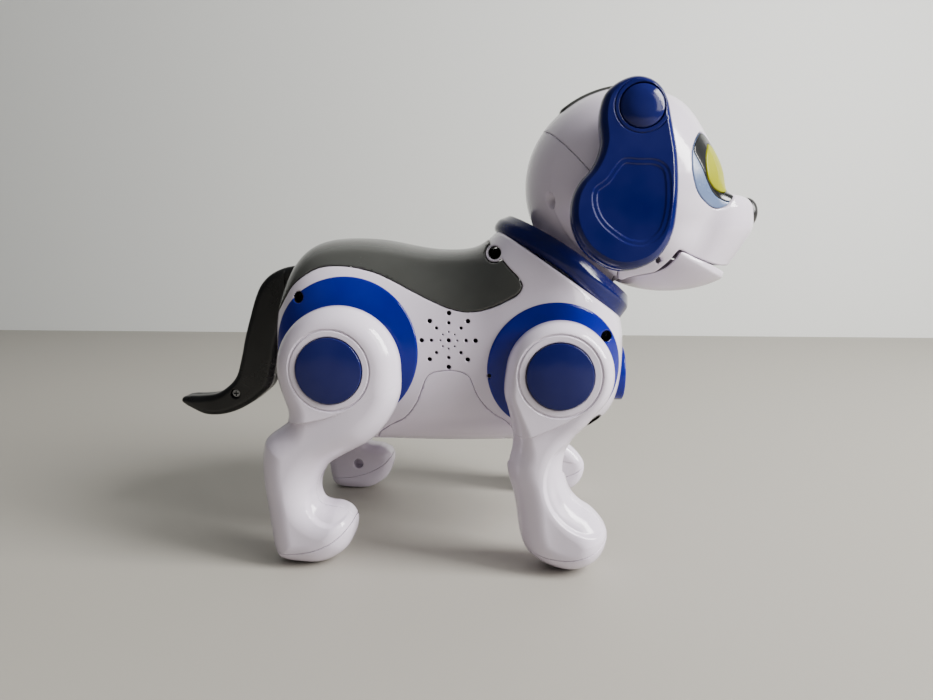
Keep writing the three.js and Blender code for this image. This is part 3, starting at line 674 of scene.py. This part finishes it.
def belly_cover(p):
    x, y, z = p.T
    d = keep(shell(body_form(p)), belly_edge(x, z) + FINE_GAP / 2, edge=0.25)
    low = z - UNDERSIDE
    d = keep(d, -np.maximum(door_region(p), low), edge=0.4)
    long, wide = SWITCH["half"]
    slot = np.maximum(np.maximum(np.abs(x - SWITCH["x"]) - long, np.abs(y) - wide), low)
    return keep(d, -slot, edge=0.3)


def battery_door(p):
    x, y, z = p.T
    d = keep(shell(body_form(p)), door_region(p) + GAP, z - UNDERSIDE, edge=0.4)
    arc = np.abs(np.hypot(x - DOOR_TAB["x"], y) - DOOR_TAB["r"])
    tab = np.maximum(arc - DOOR_TAB["half"], z - DOOR_TAB["z"])
    return keep(d, -tab, edge=0.3)


# ---- materials ----
RIPPLE = 0.08 * MM
WEAR = 0.5


def node_plastic(name, colour, roughness, tint=0.05, grain=0.04, speck=0.0, coat=0.0, metallic=0.0, ior=1.5):
    """Moulded finish: slow tone drift, fine surface ripple, faint rubbed scratches and roughness patches."""
    mat = bpy.data.materials.new(name)
    mat.use_nodes = True
    tree = mat.node_tree
    tree.nodes.clear()
    link = tree.links.new

    def new(kind, **values):
        """A node with its inputs set by name."""
        made = tree.nodes.new("ShaderNode" + kind)
        for key, value in values.items():
            made.inputs[key.replace("_", " ")].default_value = value
        return made

    out = new("OutputMaterial")
    bsdf = new("BsdfPrincipled", Metallic=metallic, IOR=ior, Coat_Weight=coat, Coat_Roughness=0.06)
    link(bsdf.outputs[0], out.inputs[0])
    coord = new("TexCoord").outputs["Object"]

    def noise(scale, detail, rough=0.55, vector=coord):
        n = new("TexNoise", Scale=scale, Detail=detail, Roughness=rough, Distortion=0.0)
        link(vector, n.inputs["Vector"])
        return n.outputs["Fac"]

    def spanned(value, from_low, from_high, low, high):
        m = new("MapRange", From_Min=from_low, From_Max=from_high, To_Min=low, To_Max=high)
        link(value, m.inputs["Value"])
        return m.outputs["Result"]

    def mixed(factor, a, b):
        m = new("Mix")
        m.data_type = "RGBA"
        link(factor, m.inputs["Factor"])
        for socket, value in ((m.inputs["A"], a), (m.inputs["B"], b)):
            if isinstance(value, tuple):
                socket.default_value = (*value, 1)
            else:
                link(value, socket)
        return m.outputs["Result"]

    def bumped(height, strength, distance, normal=None, invert=False):
        n = new("Bump", Strength=strength, Distance=distance)
        n.invert = invert
        link(height, n.inputs["Height"])
        if normal:
            link(normal, n.inputs["Normal"])
        return n.outputs[0]

    deep = tuple(max(c * (1 - 2.2 * tint), 0) for c in colour)
    light = tuple(min(c * (1 + tint) + 0.24 * tint, 1) for c in colour)
    base = mixed(spanned(noise(26, 3), 0.3, 0.7, 0, 1), deep, light)
    # grey rubbing and dust that gathers in specks
    dust = spanned(noise(330, 6, 0.7), 0.66, 0.8, 0, WEAR * 0.3)
    base = mixed(dust, base, tuple(min(c * 0.75 + 0.06, 1) for c in colour))
    if speck:
        base = mixed(spanned(noise(900, 2), 0.62, 0.7, 0, speck), base, tuple(c * 0.5 for c in colour))
    link(base, bsdf.inputs["Base Color"])

    # hair scratches: a stretched noise turned along two directions
    scratch = new("Math")
    scratch.operation = "MAXIMUM"
    for k, turn in enumerate(((0.3, 0.6, 0.2), (1.1, -0.4, 0.9))):
        mapping = new("Mapping", Rotation=turn, Scale=(1500, 40, 900))
        link(coord, mapping.inputs["Vector"])
        lines = spanned(noise(1, 2, 0.5, mapping.outputs[0]), 0.68, 0.76, 0, 1)
        link(lines, scratch.inputs[k])
    scratch = scratch.outputs[0]
    rough = new("Math")
    rough.operation = "MULTIPLY_ADD"
    link(scratch, rough.inputs[0])
    rough.inputs[1].default_value = 0.12 * WEAR
    link(spanned(noise(45, 4, 0.6), 0.35, 0.75, roughness * 0.73, roughness * 1.45), rough.inputs[2])
    link(rough.outputs[0], bsdf.inputs["Roughness"])

    # ripple of the moulding, plus fine grain and the scratches cut in
    ripple = bumped(noise(130, 2), 0.35, RIPPLE)
    fine = bumped(noise(2600, 3), 0.4, grain * MM, ripple)
    link(bumped(scratch, 0.25 * WEAR, 0.01 * MM, fine, True), bsdf.inputs["Normal"])
    return mat


def rgb(r, g, b):
    """Linear colour from screen values of 0 to 255."""
    return tuple(((v / 255 + 0.055) / 1.055) ** 2.4 if v > 10 else v / 255 / 12.92 for v in (r, g, b))


WHITE = (node_plastic("white_gloss", rgb(225, 215, 230), 0.12, tint=0.02, coat=0.25), "white_plastic")
BLUE = (node_plastic("ring_blue", rgb(0, 12, 124), 0.15, tint=0.05, ior=1.38), "blue_plastic")
NAVY = (node_plastic("deep_navy", rgb(1, 9, 82), 0.11, tint=0.06, ior=1.38), "navy_plastic")
GREY = (node_plastic("cover_grey", rgb(66, 67, 64), 0.2, tint=0.05, coat=0.15), "grey_plastic")
BLACK = (node_plastic("satin_black", rgb(8, 8, 9), 0.3, tint=0.08, grain=0.08), "black_plastic")
LENS = (node_plastic("lens_black", rgb(20, 22, 23), 0.16, tint=0.06, coat=0.1), "black_plastic")
# blue-grey colour of the eye's rim round the dark lens: painted reflection of the room in the glossy eye
RIM_PAINTED_REFLECTION = (node_plastic("eye_rim_painted_reflection", rgb(100, 120, 158), 0.25, tint=0.05), "rim_plastic")
IRIS_LOOK = (node_plastic("iris_green", rgb(152, 154, 0), 0.28, tint=0.05, ior=1.3), "iris_plastic")
STEEL = (node_plastic("screw_steel", rgb(165, 166, 168), 0.32, tint=0.05, metallic=1.0), "steel")
# darker copy of the screw steel for the screws down in the wells: painted shade of the wells
STEEL_PAINTED_SHADE = (node_plastic("screw_steel_painted_shade", rgb(58, 58, 60), 0.45, tint=0.05, metallic=1.0), "steel")
INNER = node_plastic("inner_grey", rgb(111, 114, 118), 0.5, tint=0.05)
NYLON = node_plastic("gear_nylon", rgb(226, 219, 196), 0.45, tint=0.05)
BOARD = node_plastic("board_green", rgb(28, 88, 50), 0.5, tint=0.1, speck=0.4)
WRAP = node_plastic("cell_wrap", rgb(44, 46, 49), 0.45, tint=0.06)
RUBBER = node_plastic("dome_rubber", rgb(26, 26, 27), 0.7, tint=0.1)

# ---- body pieces ----
BODY_PAIR = ("body", "body")
# closer steps across the grille
fine_grille = [(at - 13, at + 13, 0.34) for at in SPEAKER]
low, high = (-84.5, -45.5, 42), (77.5, 1.5, 146)
piece(
    "skin_body_right", body_right, low, high, 0.9, "body", WHITE, ["body_shell_right"],
    fine=(fine_grille[0], None, fine_grille[1]),
)
low, high = (-84.5, -1.5, 42), (77.5, 45.5, 146)
piece("skin_body_left", body_left, low, high, 0.95, "body", WHITE, ["body_shell_left"])
piece("skin_back_cover", back_cover, (-84.5, -45, 103), (31, 45, 142), 0.85, "body", GREY, ["back_cover"])
piece("skin_belly_cover", belly_cover, (-36, -44, 42), (33, 44, 84), 0.85, "body", WHITE, ["belly_cover"])
piece("skin_battery_door", battery_door, (-25, -22, 42), (25, 22, 47), 0.6, "body", WHITE, ["battery_door"])


def ring(end):
    """A low rim that follows the body, and the hub on which the hip turns."""
    x, z, r = HIP[end]["ring"]

    def f(p):
        form = body_form(p)
        rim = keep(form - RING_LIFT, rod_y(p, x, z, r), edge=0.8)
        rim = np.maximum(rim, np.maximum(-form - RING_SINK, p[:, 1] + RING_NEAR))
        hub = drum(rod_y(p, HIP[end]["x"], HIP[end]["z"], HUB["r"]), HUB["near"], HUB["face"], -p[:, 1], 0.6)
        d = smooth_min(rim, np.maximum(hub, -form - HUB["sink"]), 1.5)
        d = np.maximum(d, above_neck(p) + 0.2)
        return smooth_max(d, -holes(p), 0.4)

    return f


for end, hip in HIP.items():
    rx, rz, rr = hip["ring"]
    low, high = (rx - rr - 1.5, -48.5, rz - rr - 1.5), (rx + rr + 1.5, -17, rz + rr + 1.5)
    pair(f"skin_{end}_ring_{{}}", ring(end), low, high, 0.5, BODY_PAIR, BLUE, (f"{end}_hip_ring_{{}}",))


def skin_y(x, z, inset):
    """Sideways place of the right-hand surface at x and z, or of the layer that lies inset below it."""
    y = np.linspace(-60, 0, 1201)
    line = np.column_stack([np.full(len(y), x), y, np.full(len(y), z)])
    return y[np.argmax(body_form(line) < -inset)]


def rim_lift(p, end):
    """Height of a hip ring's rim over the body, which falls to nothing at its edge."""
    return RING_LIFT * ramp(-rod_y(p, *HIP[end]["ring"]) / 1.2 - 0.2)


def painted_shade_cup(hole, lift):
    """Black cup that lines a hole in a surface raised by lift over the body, and closes it off inside:
    painted shade in the hole.
    """

    def f(p):
        form = body_form(p)
        lip = form + LINING["lip"] - lift(p)
        d = np.maximum(hole(p) - LINING["outside"], np.maximum(lip, -form - LINING["base"]))
        return np.maximum(d, -np.maximum(hole(p) + LINING["inside"], -form - LINING["floor"]))

    return f


def screw_head(p):
    """Cross-head screw, facing +Z."""
    x, y, z = p.T
    r = np.hypot(x, y)
    c = SCREW
    d = drum(r - c["r"], c["base"], c["face"], z, 0.3)
    d = smooth_max(d, z - c["face"] + c["crown"] * r**2, 0.2)
    arm = np.minimum(np.abs(x), np.abs(y)) - c["arm"]
    slot = np.maximum(np.maximum(arm, r - c["reach"]), -z + c["slot"])
    return smooth_max(d, -slot, 0.12)


FACING = Matrix.Rotation(math.pi / 2, 4, "X")
SCREW_BOX = ((-2.3, -2.3, -1.9), (2.3, 2.3, 0.9))
for name, (x, z, r) in WELLS.items():
    y = skin_y(x, z, SCREW_DEPTH)
    low, high = (x - r - 2, y - 7, z - r - 2), (x + r + 2, y + 7, z + r + 2)
    end = name.removeprefix("ring_")
    lift = (lambda p, end=end: rim_lift(p, end)) if end in HIP else (lambda p: 0)
    # each hole is lined with a black cup as painted shade inside it
    painted_shade_lining = painted_shade_cup(lambda p, well=(x, z, r): rod_y(p, *well), lift)
    pair(f"well_{name}_{{}}", painted_shade_lining, low, high, 0.35, BODY_PAIR, BLACK, ())
    place = Matrix.Translation((x, y, z)) @ FACING @ Matrix.Rotation(0.5, 4, "Z")
    # the screw in the well takes the darker steel copy: painted shade
    pair(f"screw_{name}_{{}}", screw_head, *SCREW_BOX, 0.2, BODY_PAIR, STEEL_PAINTED_SHADE, (), place=place)

x, z = BELLY_SLOT["x"], BELLY_SLOT["z"]
y = skin_y(x, z, 0)
low, high = (x - 5.5, y - 8, z - 5.5), (x + 5.5, y + 18, z + 5.5)
# black cup in the belly slot: painted shade
pair("well_belly_{}", painted_shade_cup(belly_slot, lambda p: 0.4), low, high, 0.35, BODY_PAIR, BLACK, ())

# ---- legs ----
leg_edges = {"rear": Outline(REAR_LEG), "front": Outline(FRONT_LEG)}


def curve(line):
    xs, zs = np.array(line, float).T
    at = np.linspace(xs[0], xs[-1], 200)
    return at, spline(xs, zs, at)


sole_curves = {end: curve(line) for end, line in SOLE_LINE.items()}
crease_curves = {end: curve(line) for end, line in CREASE.items()}


def above(line, p):
    """Distance above a curve in side view."""
    at, z = line
    slope = np.interp(p[:, 0], at, np.gradient(z, at))
    return (p[:, 2] - np.interp(p[:, 0], at, z)) / np.sqrt(1 + slope**2)


def leg_form(end, p):
    hip = HIP[end]
    disc = hip["disc"]
    x, y, z = p[:, 0], -p[:, 1], p[:, 2]
    edge = smooth_min(rod_y(p, *disc), leg_edges[end](x, z), 6)
    # the rounding of the outer face widens and deepens from the hip down to the paw
    paw = ramp((PAW_TOP - z) / PAW_BLEND)
    c = LEG_ROUND
    inward = disc[2] - c["flat"] + (c["paw"] - disc[2]) * paw
    drop = c["drop"] + (LEG_FACE - PAW_LOW[end] - c["drop"]) * paw
    start, full = CREASE_FADE[end]
    step = CREASE_STEP * ramp((x - start) / (full - start))
    scoop = SCOOP[end]
    into = -rod_y(p, scoop["x"], scoop["z"], scoop["r"])
    below_top = scoop["z"] + RIDGE["top"] * scoop["r"] - z
    step = step + scoop["step"] * ramp(into / RIDGE["wide"]) * ramp(below_top / RIDGE["fade"])
    upper = np.maximum(domed(edge, LEG_INNER, LEG_FACE, y, inward, drop), -above(crease_curves[end], p))
    d = smooth_min(upper, domed(edge, LEG_INNER, LEG_FACE, y + step, inward, drop), 0.3)
    d = smooth_max(d, drum(edge, LEG_INNER, 1.5 * LEG_FACE, y, c["inner"]), 1)
    # the hollow at the ankle is steep at its ridge and flattens inwards
    into = into / scoop["wide"]
    hollow = scoop["deep"] * np.where(into < 0, 2 * into, 1 - (1 - np.clip(into, 0, 1)) ** 2)
    hollow = hollow * ramp((scoop["end"] - x) / RIDGE["end_fade"])
    hollow = np.where(z > scoop["z"] + RIDGE["none"] * scoop["r"], -9, hollow)
    d = smooth_max(d, (y - LEG_FACE + hollow) / 2, 0.3)
    near_hip = rod_y(p, hip["x"], hip["z"], HIP_CUT["r"]) - HIP_CUT["lean"] * (LEG_BACK - y)
    d = smooth_max(d, -np.maximum(near_hip / HIP_CUT["stretch"], y - LEG_BACK), 1.5)
    r = rod_y(p, hip["x"], hip["z"], 0)
    groove = np.maximum(np.abs(r - HIP_GROOVE["r"]) - HIP_GROOVE["half"], LEG_FACE - HIP_GROOVE["deep"] - y)
    d = smooth_max(d, -groove, 0.25)
    well = np.maximum(r - hip["cap"] - CAP["play"], LEG_FACE - CAP["recess"] - y)
    return smooth_max(d, -well, 0.3)


def over_sole(end, p):
    return -above(sole_curves[end], p) + FINE_GAP / 2


def leg_outer(end):
    def f(p):
        return keep(leg_form(end, p), p[:, 1] + LEG_BACK, over_sole(end, p), edge=0.2)

    return f


def leg_inner(end):
    def f(p):
        d = keep(leg_form(end, p), -p[:, 1] - LEG_BACK + 0.2, over_sole(end, p), edge=0.35)
        well = np.maximum(rod_y(p, *PAW_SCREW[end], PAW_WELL["r"]), -p[:, 1] - LEG_INNER - PAW_WELL["deep"])
        return smooth_max(d, -well, 0.4)

    return f


def leg_sole(end):
    def f(p):
        d = keep(leg_form(end, p), -p[:, 2], edge=1.2)
        return keep(d, above(sole_curves[end], p) + FINE_GAP / 2, edge=0.2)

    return f


for end, hip in HIP.items():
    body = f"{end}_legs"
    loop = leg_edges[end].loop
    cx, cz, cr = hip["disc"]
    x0 = min(loop[:, 0].min(), cx - cr) - 1.2
    x1 = max(loop[:, 0].max(), cx + cr) + 1.2
    top = cz + cr + 1.2
    legs = (body, body)
    for node, f, y0, y1, z1, h in (
        (f"{end}_leg_outer_{{}}", leg_outer(end), -61.8, -46.8, top, 0.45),
        (f"{end}_leg_inner_{{}}", leg_inner(end), -49, -35.5, 70, 0.7),
        (f"{end}_sole_{{}}", leg_sole(end), -61.5, -35.5, 26, 0.55),
    ):
        pair(f"skin_{node}", f, (x0, y0, -1), (x1, y1, z1), h, legs, WHITE, (node,))

    def cap(p, radius=hip["cap"]):
        r = np.hypot(p[:, 0], p[:, 1])
        dome = CAP["face"] - CAP["dome"] * (r / radius) ** 2
        return smooth_max(drum(r - radius, CAP["base"], CAP["face"], p[:, 2], 0.8), p[:, 2] - dome, 0.3)

    place = Matrix.Translation((hip["x"], 0, hip["z"])) @ FACING
    low, high = (-14.5, -14.5, 56.5), (14.5, 14.5, 63)
    pair(f"skin_{end}_cap_{{}}", cap, low, high, 0.45, legs, NAVY, (f"{end}_hip_cap_{{}}",), place=place)


# ---- collar, in the neck's own frame: +Z along the neck ----
def collar(p):
    x, y, z = p.T
    c = COLLAR
    r = np.hypot(x + c["back"], y)
    # the front of the ring hangs lower and its back is slimmer
    ahead = np.clip(x / c["outer"], -1, 1)
    front, rear, under = COLLAR_HANG
    along = z + np.where(ahead > 0, front * c["drop"] * ahead, rear * c["drop"] * ahead**2)
    base = c["base"] - under * c["drop"] * np.maximum(ahead, 0)
    d = drum(np.maximum(r - c["outer"], c["inner"] - r), base, c["height"], along, c["edge"])
    # the side leans in above a ridge
    lean = (r - c["outer"]) * 0.8 + (along - c["ridge"] * c["height"]) * 0.6
    d = smooth_max(d, lean, 0.8)
    mouth = (c["inner"] + 3 - r) * 0.8 + (along - c["height"] + 0.5) * 0.6
    return smooth_max(d, mouth, 1.2) * 0.95


place = Matrix.Translation(Vector(NECK)) @ Matrix.Rotation(NECK_TILT, 4, "Y")
low, high = (-39, -37.5, -5.5), (36, 37.5, 12.5)
piece("skin_collar", collar, low, high, 0.7, "body", NAVY, ["collar_ring"], place=place)


def chest_button(p):
    r = np.hypot(p[:, 1], p[:, 2] - BUTTON["z"])
    d = drum(r - BUTTON["r"], BUTTON["base"], BUTTON["face"], p[:, 0], 1.6)
    return smooth_max(d, p[:, 0] - BUTTON["face"] + BUTTON["dome"] * (r / BUTTON["r"]) ** 2, 0.6)


low, high = (65, -14, 60.8), (79.5, 14, 88.8)
piece("skin_chest_button", chest_button, low, high, 0.5, "chest_button", BLUE, ["chest_button"])


# ---- head ----
muzzle_edge = Outline(MUZZLE_SIDE)


def muzzle(p):
    """The side outline, set back towards the cheeks as the muzzle rounds off in plan."""
    x, y, z = p.T
    aside = np.minimum(np.abs(y) / MUZZLE_HALF, 0.985)
    across = np.sqrt(1 - aside * aside)
    back = MUZZLE_LONG * (1 - across)
    slope = MUZZLE_LONG / MUZZLE_HALF * aside / across
    d = muzzle_edge(x + back, z) / np.sqrt(1 + (0.8 * slope) ** 2)
    return smooth_max(d, np.abs(y) - MUZZLE_HALF + 1.5, 4)


def head_form(p):
    q = p - HEAD
    q[:, 2] *= np.where(q[:, 2] > 0, HEAD_R / CROWN_R, 1)
    ball = np.linalg.norm(q, axis=1) - HEAD_R
    around = np.hypot(np.maximum(q[:, 0], 0), BROW_WIDE * q[:, 1])
    ball = smooth_max(ball, BROW[0] * around + BROW[1] * (p[:, 2] - HEAD[2]) - BROW[2], 4)
    d = smooth_min(ball, ellipsoid(p, **CHEEK), 5)
    return smooth_min(d, muzzle(p), 4)


mouth_edge = Outline(MOUTH)
DEGREE = HEAD_R * math.pi / 180
eye_rim, eye_lens, eye_iris = (
    Outline(pairs, cell=0.25, reach=8, scale=DEGREE) for pairs in (EYE_RIM, EYE_LENS, IRIS)
)


def eye_map(p):
    """Azimuth towards the side and elevation about the head's middle, scaled to mm."""
    q = mirrored(p) - HEAD
    az = np.degrees(np.arctan2(-q[:, 1], q[:, 0]))
    el = np.degrees(np.arctan2(q[:, 2], np.hypot(q[:, 0], q[:, 1])))
    return az * DEGREE, el * DEGREE


def nose(p):
    return ellipsoid(p, **NOSE)


def crown_region(p):
    """Strip along the top of the head."""
    x, y, z = p.T
    c = CROWN
    past_end = np.abs(x - (c["x0"] + c["x1"]) / 2) - (c["x1"] - c["x0"]) / 2
    d = meet(past_end, np.abs(y) - c["half"], c["corner"])
    return np.maximum(d, HEAD[2] + 10 - z)


def ear_local(p):
    """Along the head, up the leaning ear, and outwards from the head's middle."""
    q = mirrored(p) - HEAD
    c, s = math.cos(EAR_LEAN), math.sin(EAR_LEAN)
    return q[:, 0], s * q[:, 1] + c * q[:, 2], -c * q[:, 1] + s * q[:, 2]


def to_ear(x, z):
    rise = (EAR_NEAR + EAR_FAR) / 2 * math.sin(EAR_LEAN)
    return x - HEAD[0], (z - HEAD[2] - rise) / math.cos(EAR_LEAN)


EAR_AT = to_ear(*EAR_PIVOT)


def head_shell(p):
    x, y, z = p.T
    form = head_form(p)
    u, v, w = ear_local(p)
    from_pivot = np.hypot(u - EAR_AT[0], v - EAR_AT[1])
    stalk = drum(from_pivot - EAR_STALK["r"], EAR_STALK["near"], EAR_NEAR - GAP, w, 0.5)
    d = np.maximum(smooth_min(form, stalk, 1.5), -form - WALL)
    d = keep(d, -mouth_edge(x, z), edge=0.6)
    along, radius = above_neck(p), neck_radius(p)
    d = np.maximum(d, -np.maximum(radius - POST_R - 0.5, along - 20))
    room = np.maximum(radius - NECK_ROOM["r"], np.abs(along - NECK_ROOM["middle"]) - NECK_ROOM["half"])
    d = np.maximum(d, -room)
    d = keep(d, -(nose(p) - 0.2), edge=0.4)
    d = keep(d, -(eye_rim(*eye_map(p)) - 0.2), edge=0.5)
    d = keep(d, -(crown_region(p) - 0.15), edge=0.4)
    screw = np.maximum(rod_y(p, **CHEEK_SCREW), 18 - np.abs(y))
    c = NAPE_SCREW
    aside = np.hypot(c["squeeze"] * (np.abs(y) - c["y"]), z - c["z"])
    behind = x - SEAM_X + SEAM_STEP
    boss = np.maximum(np.maximum(aside - c["boss"], behind), np.maximum(form + 0.8, -form - c["boss_deep"]))
    back = np.maximum(np.maximum(aside - c["r"], behind), -form - c["deep"])
    return keep(np.minimum(d, boss), -screw, -back, edge=0.5)


def face_region(p, gap):
    """Ahead of the seam between the back of the head and the face, which steps forward over the brow."""
    behind = SEAM_X + gap - p[:, 0]
    high = p[:, 2] - HEAD[2] - BROW_SEAM + gap
    return np.minimum(np.maximum(behind, high), behind + SEAM_STEP)


def face_shell(p):
    return keep(head_shell(p), face_region(p, GAP / 2), edge=0.35)


def back_shell(side):
    """The back of the head above its seam (side 1) or below it (side -1)."""

    def f(p):
        split = side * (NAPE[3] - p @ NAPE[:3])
        return keep(head_shell(p), -face_region(p, -GAP / 2), split + 0.03, edge=0.15)

    return f


def crown_strip(p):
    d = head_form(p)
    return keep(np.maximum(d - 1.0, -d - WALL), crown_region(p) + 0.15, edge=1.0)


def eye_part(outline, out, inset, inner=None, edge=0.45):
    def f(p):
        d = head_form(p)
        uv = eye_map(p)
        made = keep(np.maximum(d - out, -d - WALL), outline(*uv) + inset, edge=edge)
        if inner:
            made = keep(made, -(inner(*uv) - 0.05), edge=0.3)
        return made

    return f


low, high = (30.5, -47.5, 115), (82, 47.5, 204.5)
for name, side in (("skin_head_back", 1), ("skin_head_nape", -1)):
    piece(name, back_shell(side), low, high, 0.85, "head", WHITE, ["head_back_shell"])
low, high = (69, -47.5, 115), (133, 47.5, 204.5)
piece("skin_head_face", face_shell, low, high, 0.75, "head", WHITE, ["head_face_shell"])
low, high = (44.5, -11, 180), (80, 11, 206.5)
piece("skin_crown_strip", crown_strip, low, high, 0.42, "head", GREY, ["head_crown_strip"])
piece("skin_nose", nose, (123, -10.5, 141.5), (135.5, 10.5, 155.8), 0.45, "head", BLACK, ["nose"])
EYES = {
    # the rim round each lens is blue-grey as painted reflection of the room in the glossy eye
    "eye_rim": (eye_part(eye_rim, 0.0, 0.1, eye_lens), RIM_PAINTED_REFLECTION),
    "eye_lens": (eye_part(eye_lens, 0.1, 0.05, eye_iris), LENS),
    "iris": (eye_part(eye_iris, 0.45, 0.05, edge=0.8), IRIS_LOOK),
}
low, high = (84, -45, 144), (122, -6, 183)
for name, (f, look) in EYES.items():
    pair(f"skin_{name}_{{}}", f, low, high, 0.42, ("head", "head"), look, (f"{name}_{{}}",))

jaw_edge = Outline(JAW_SIDE)
jaw_rim = Outline(JAW_RIM)


def jaw(p):
    x, _, z = p.T
    egg = ellipsoid(p, **JAW_EGG)
    hollow = np.maximum(egg + WALL, JAW_HOLLOW_X - x)
    d = keep(egg, jaw_edge(x, z), edge=0.6)
    # the rim slopes up and in from the edge seen at the side
    d = keep(d, (jaw_rim(x, z) + 1.5 * egg) / 1.8, edge=0.4)
    return keep(d, -hollow, edge=0.8)


piece("skin_jaw", jaw, (71, -30, 111), (128, 30, 132.5), 0.6, "jaw", WHITE, ["jaw"])

# ---- ears ----
ear_edge = Outline([to_ear(*q) for q in EAR_OUTLINE], cell=0.3)
ear_panel = Outline([to_ear(*q) for q in EAR_PANEL], cell=0.3)


def ear(p):
    u, v, w = p.T
    # the face meets its rounded border at a crease, and the panel lies lower inside two small steps
    d = domed(ear_edge(u, v), EAR_NEAR, EAR_FAR + 1, w, EAR_ROLL, EAR_ROLL)
    inside = -ear_panel(u, v) / EAR_STEP["wide"]
    dip = EAR_STEP["deep"] * (np.clip(inside, 0, 1) + np.clip(inside - EAR_STEP["apart"], 0, 1))
    d = np.maximum(d, w - EAR_FAR + dip)
    r = np.hypot(u - EAR_AT[0], v - EAR_AT[1])
    groove = np.maximum(np.abs(r - EAR_GROOVE["r"]) - EAR_GROOVE["half"], EAR_FAR - EAR_GROOVE["deep"] - w)
    d = smooth_max(d, -groove, 0.3)
    recess = np.maximum(r - EAR_CAP["r"] - EAR_CAP["play"], EAR_NEAR + EAR_CAP["floor"] - w)
    return smooth_max(d, -recess, 0.3)


ear_place = Matrix.Translation(Vector(HEAD)) @ Matrix.Rotation(math.pi / 2 - EAR_LEAN, 4, "X")
low = (*(ear_edge.loop.min(0) - 1), EAR_NEAR - 1)
high = (*(ear_edge.loop.max(0) + 1), EAR_FAR + 1)
ears = ("ear_right", "ear_left")
pair("skin_ear_{}", ear, low, high, 0.36, ears, NAVY, ("ear_{}",), place=ear_place)


def ear_cap(p):
    r = np.hypot(p[:, 0], p[:, 1])
    c = EAR_CAP
    d = drum(r - c["r"], c["base"], c["face"], p[:, 2], 1.2)
    return smooth_max(d, p[:, 2] - c["crown"] + c["dome"] * (r / c["r"]) ** 2, 0.8)


place = ear_place @ Matrix.Translation((*EAR_AT, 0))
low, high = (-9.2, -9.2, 48.2), (9.2, 9.2, 55.2)
pair("skin_ear_cap_{}", ear_cap, low, high, 0.35, ears, NAVY, ("ear_cap_{}",), place=place)

# ---- tail ----
tail_edge = Outline(TAIL_OUTLINE)


def tail(p):
    x, y, z = p.T
    d = drum(tail_edge(x, z), -TAIL_HALF, TAIL_HALF, y, TAIL_EDGE)
    d = keep(d, -(loft(p) - TAIL_CLEAR), edge=0.8)
    d = keep(d, y + 0.1, edge=0.3)
    well = np.maximum(rod_y(p, *TAIL_SCREW, TAIL_WELL["r"]), y + TAIL_HALF - TAIL_WELL["deep"])
    return keep(d, -well, edge=0.4)


pair("skin_tail_{}", tail, (-136, -7.5, 50.5), (-76, 1, 126), 0.6, ("tail", "tail"), BLACK, ("tail_{}",))
place = Matrix.Translation((TAIL_SCREW[0], 1.6 - TAIL_HALF, TAIL_SCREW[1])) @ FACING
pair("screw_tail_{}", screw_head, *SCREW_BOX, 0.2, ("tail", "tail"), STEEL, (), place=place)

# ---- CAD parts seen as they are ----
CAD_LOOKS = (
    (BLACK[0], ["power_switch_knob"]),
    (INNER, ["neck_post", "tail_bracket"]),
    (WRAP, ["speaker", "battery_pack"]),
    (BOARD, ["circuit_board"]),
    (RUBBER, ["button_dome"]),
    (STEEL[0], ["tail_pin", "front_axle", "rear_axle", "front_motor", "rear_motor"]),
    (NYLON, ["front_axle_gear", "rear_axle_gear", "front_pinion", "rear_pinion"]),
)
for look, nodes in CAD_LOOKS:
    for node in nodes:
        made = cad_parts[node]
        made.data.materials.clear()
        made.data.materials.append(look)


# ---- stage ----
def plane(name, size, location, rotation):
    half = size / 2
    mesh = bpy.data.meshes.new(name)
    corners = [(-half, -half, 0), (half, -half, 0), (half, half, 0), (-half, half, 0)]
    mesh.from_pydata(corners, [], [(0, 1, 2, 3)])
    made = linked(name, mesh)
    made.location = location
    made.rotation_euler = rotation
    return made


for name, at, turn, colour in (
    ("floor", (0, 0, 0), 0, (0.36, 0.34, 0.3)),
    ("wall", (0, 0.75, 0), math.pi / 2, (0.75, 0.76, 0.74)),
):
    look = bpy.data.materials.new(f"{name}_pale")
    look.use_nodes = True
    shader = look.node_tree.nodes["Principled BSDF"]
    shader.inputs["Base Color"].default_value = (*colour, 1)
    shader.inputs["Roughness"].default_value = 0.6
    plane(name, 12, at, (turn, 0, 0)).data.materials.append(look)

world = bpy.data.worlds.new("studio")
bpy.context.scene.world = world
world.use_nodes = True
world.node_tree.nodes["Background"].inputs["Color"].default_value = (0.82, 0.86, 0.9, 1)
world.node_tree.nodes["Background"].inputs["Strength"].default_value = 0.1


def soft_light(name, size, watts, at, target, colour, mirrored_too):
    data = bpy.data.lights.new(name, "AREA")
    data.shape = "RECTANGLE"
    data.size, data.size_y = size
    data.energy = watts
    data.color = colour
    made = linked(name, data)
    made.location = at
    made.rotation_euler = (Vector(target) - Vector(at)).to_track_quat("-Z", "Y").to_euler()
    made.visible_glossy = mirrored_too


for name, across, watts in (("window_near", -0.8, 7), ("window_far", -0.28, 40)):
    target = (0.03, across * 0.3, 0.1)
    soft_light(name, (0.42, 0.9), watts, (1.0, across, 0.75), target, (1.0, 0.99, 0.97), True)
soft_light("ceiling", (2.2, 1.8), 6.5, (-0.1, 0.0, 1.5), (0, 0, 0.1), (0.97, 0.98, 1.0), False)
soft_light("fill", (1.2, 1.0), 0.3, (-0.8, -1.3, 0.7), (0, 0, 0.1), (0.92, 0.95, 1.0), False)

# ---- camera at eye height beside the toy ----
CAMERA_AT = Vector((25.85, -307.2, 130.0)) * MM
CAMERA_PITCH = math.radians(8.4)
CAMERA_YAW = math.radians(4.0)
lens = bpy.data.cameras.new("camera")
lens.lens = 25.27
lens.sensor_width = 36
lens.clip_start = 0.01
camera = linked("camera", lens)
camera.location = CAMERA_AT
camera.rotation_euler = (math.pi / 2 - CAMERA_PITCH, 0, CAMERA_YAW)
bpy.context.scene.camera = camera

bpy.context.view_layer.update()
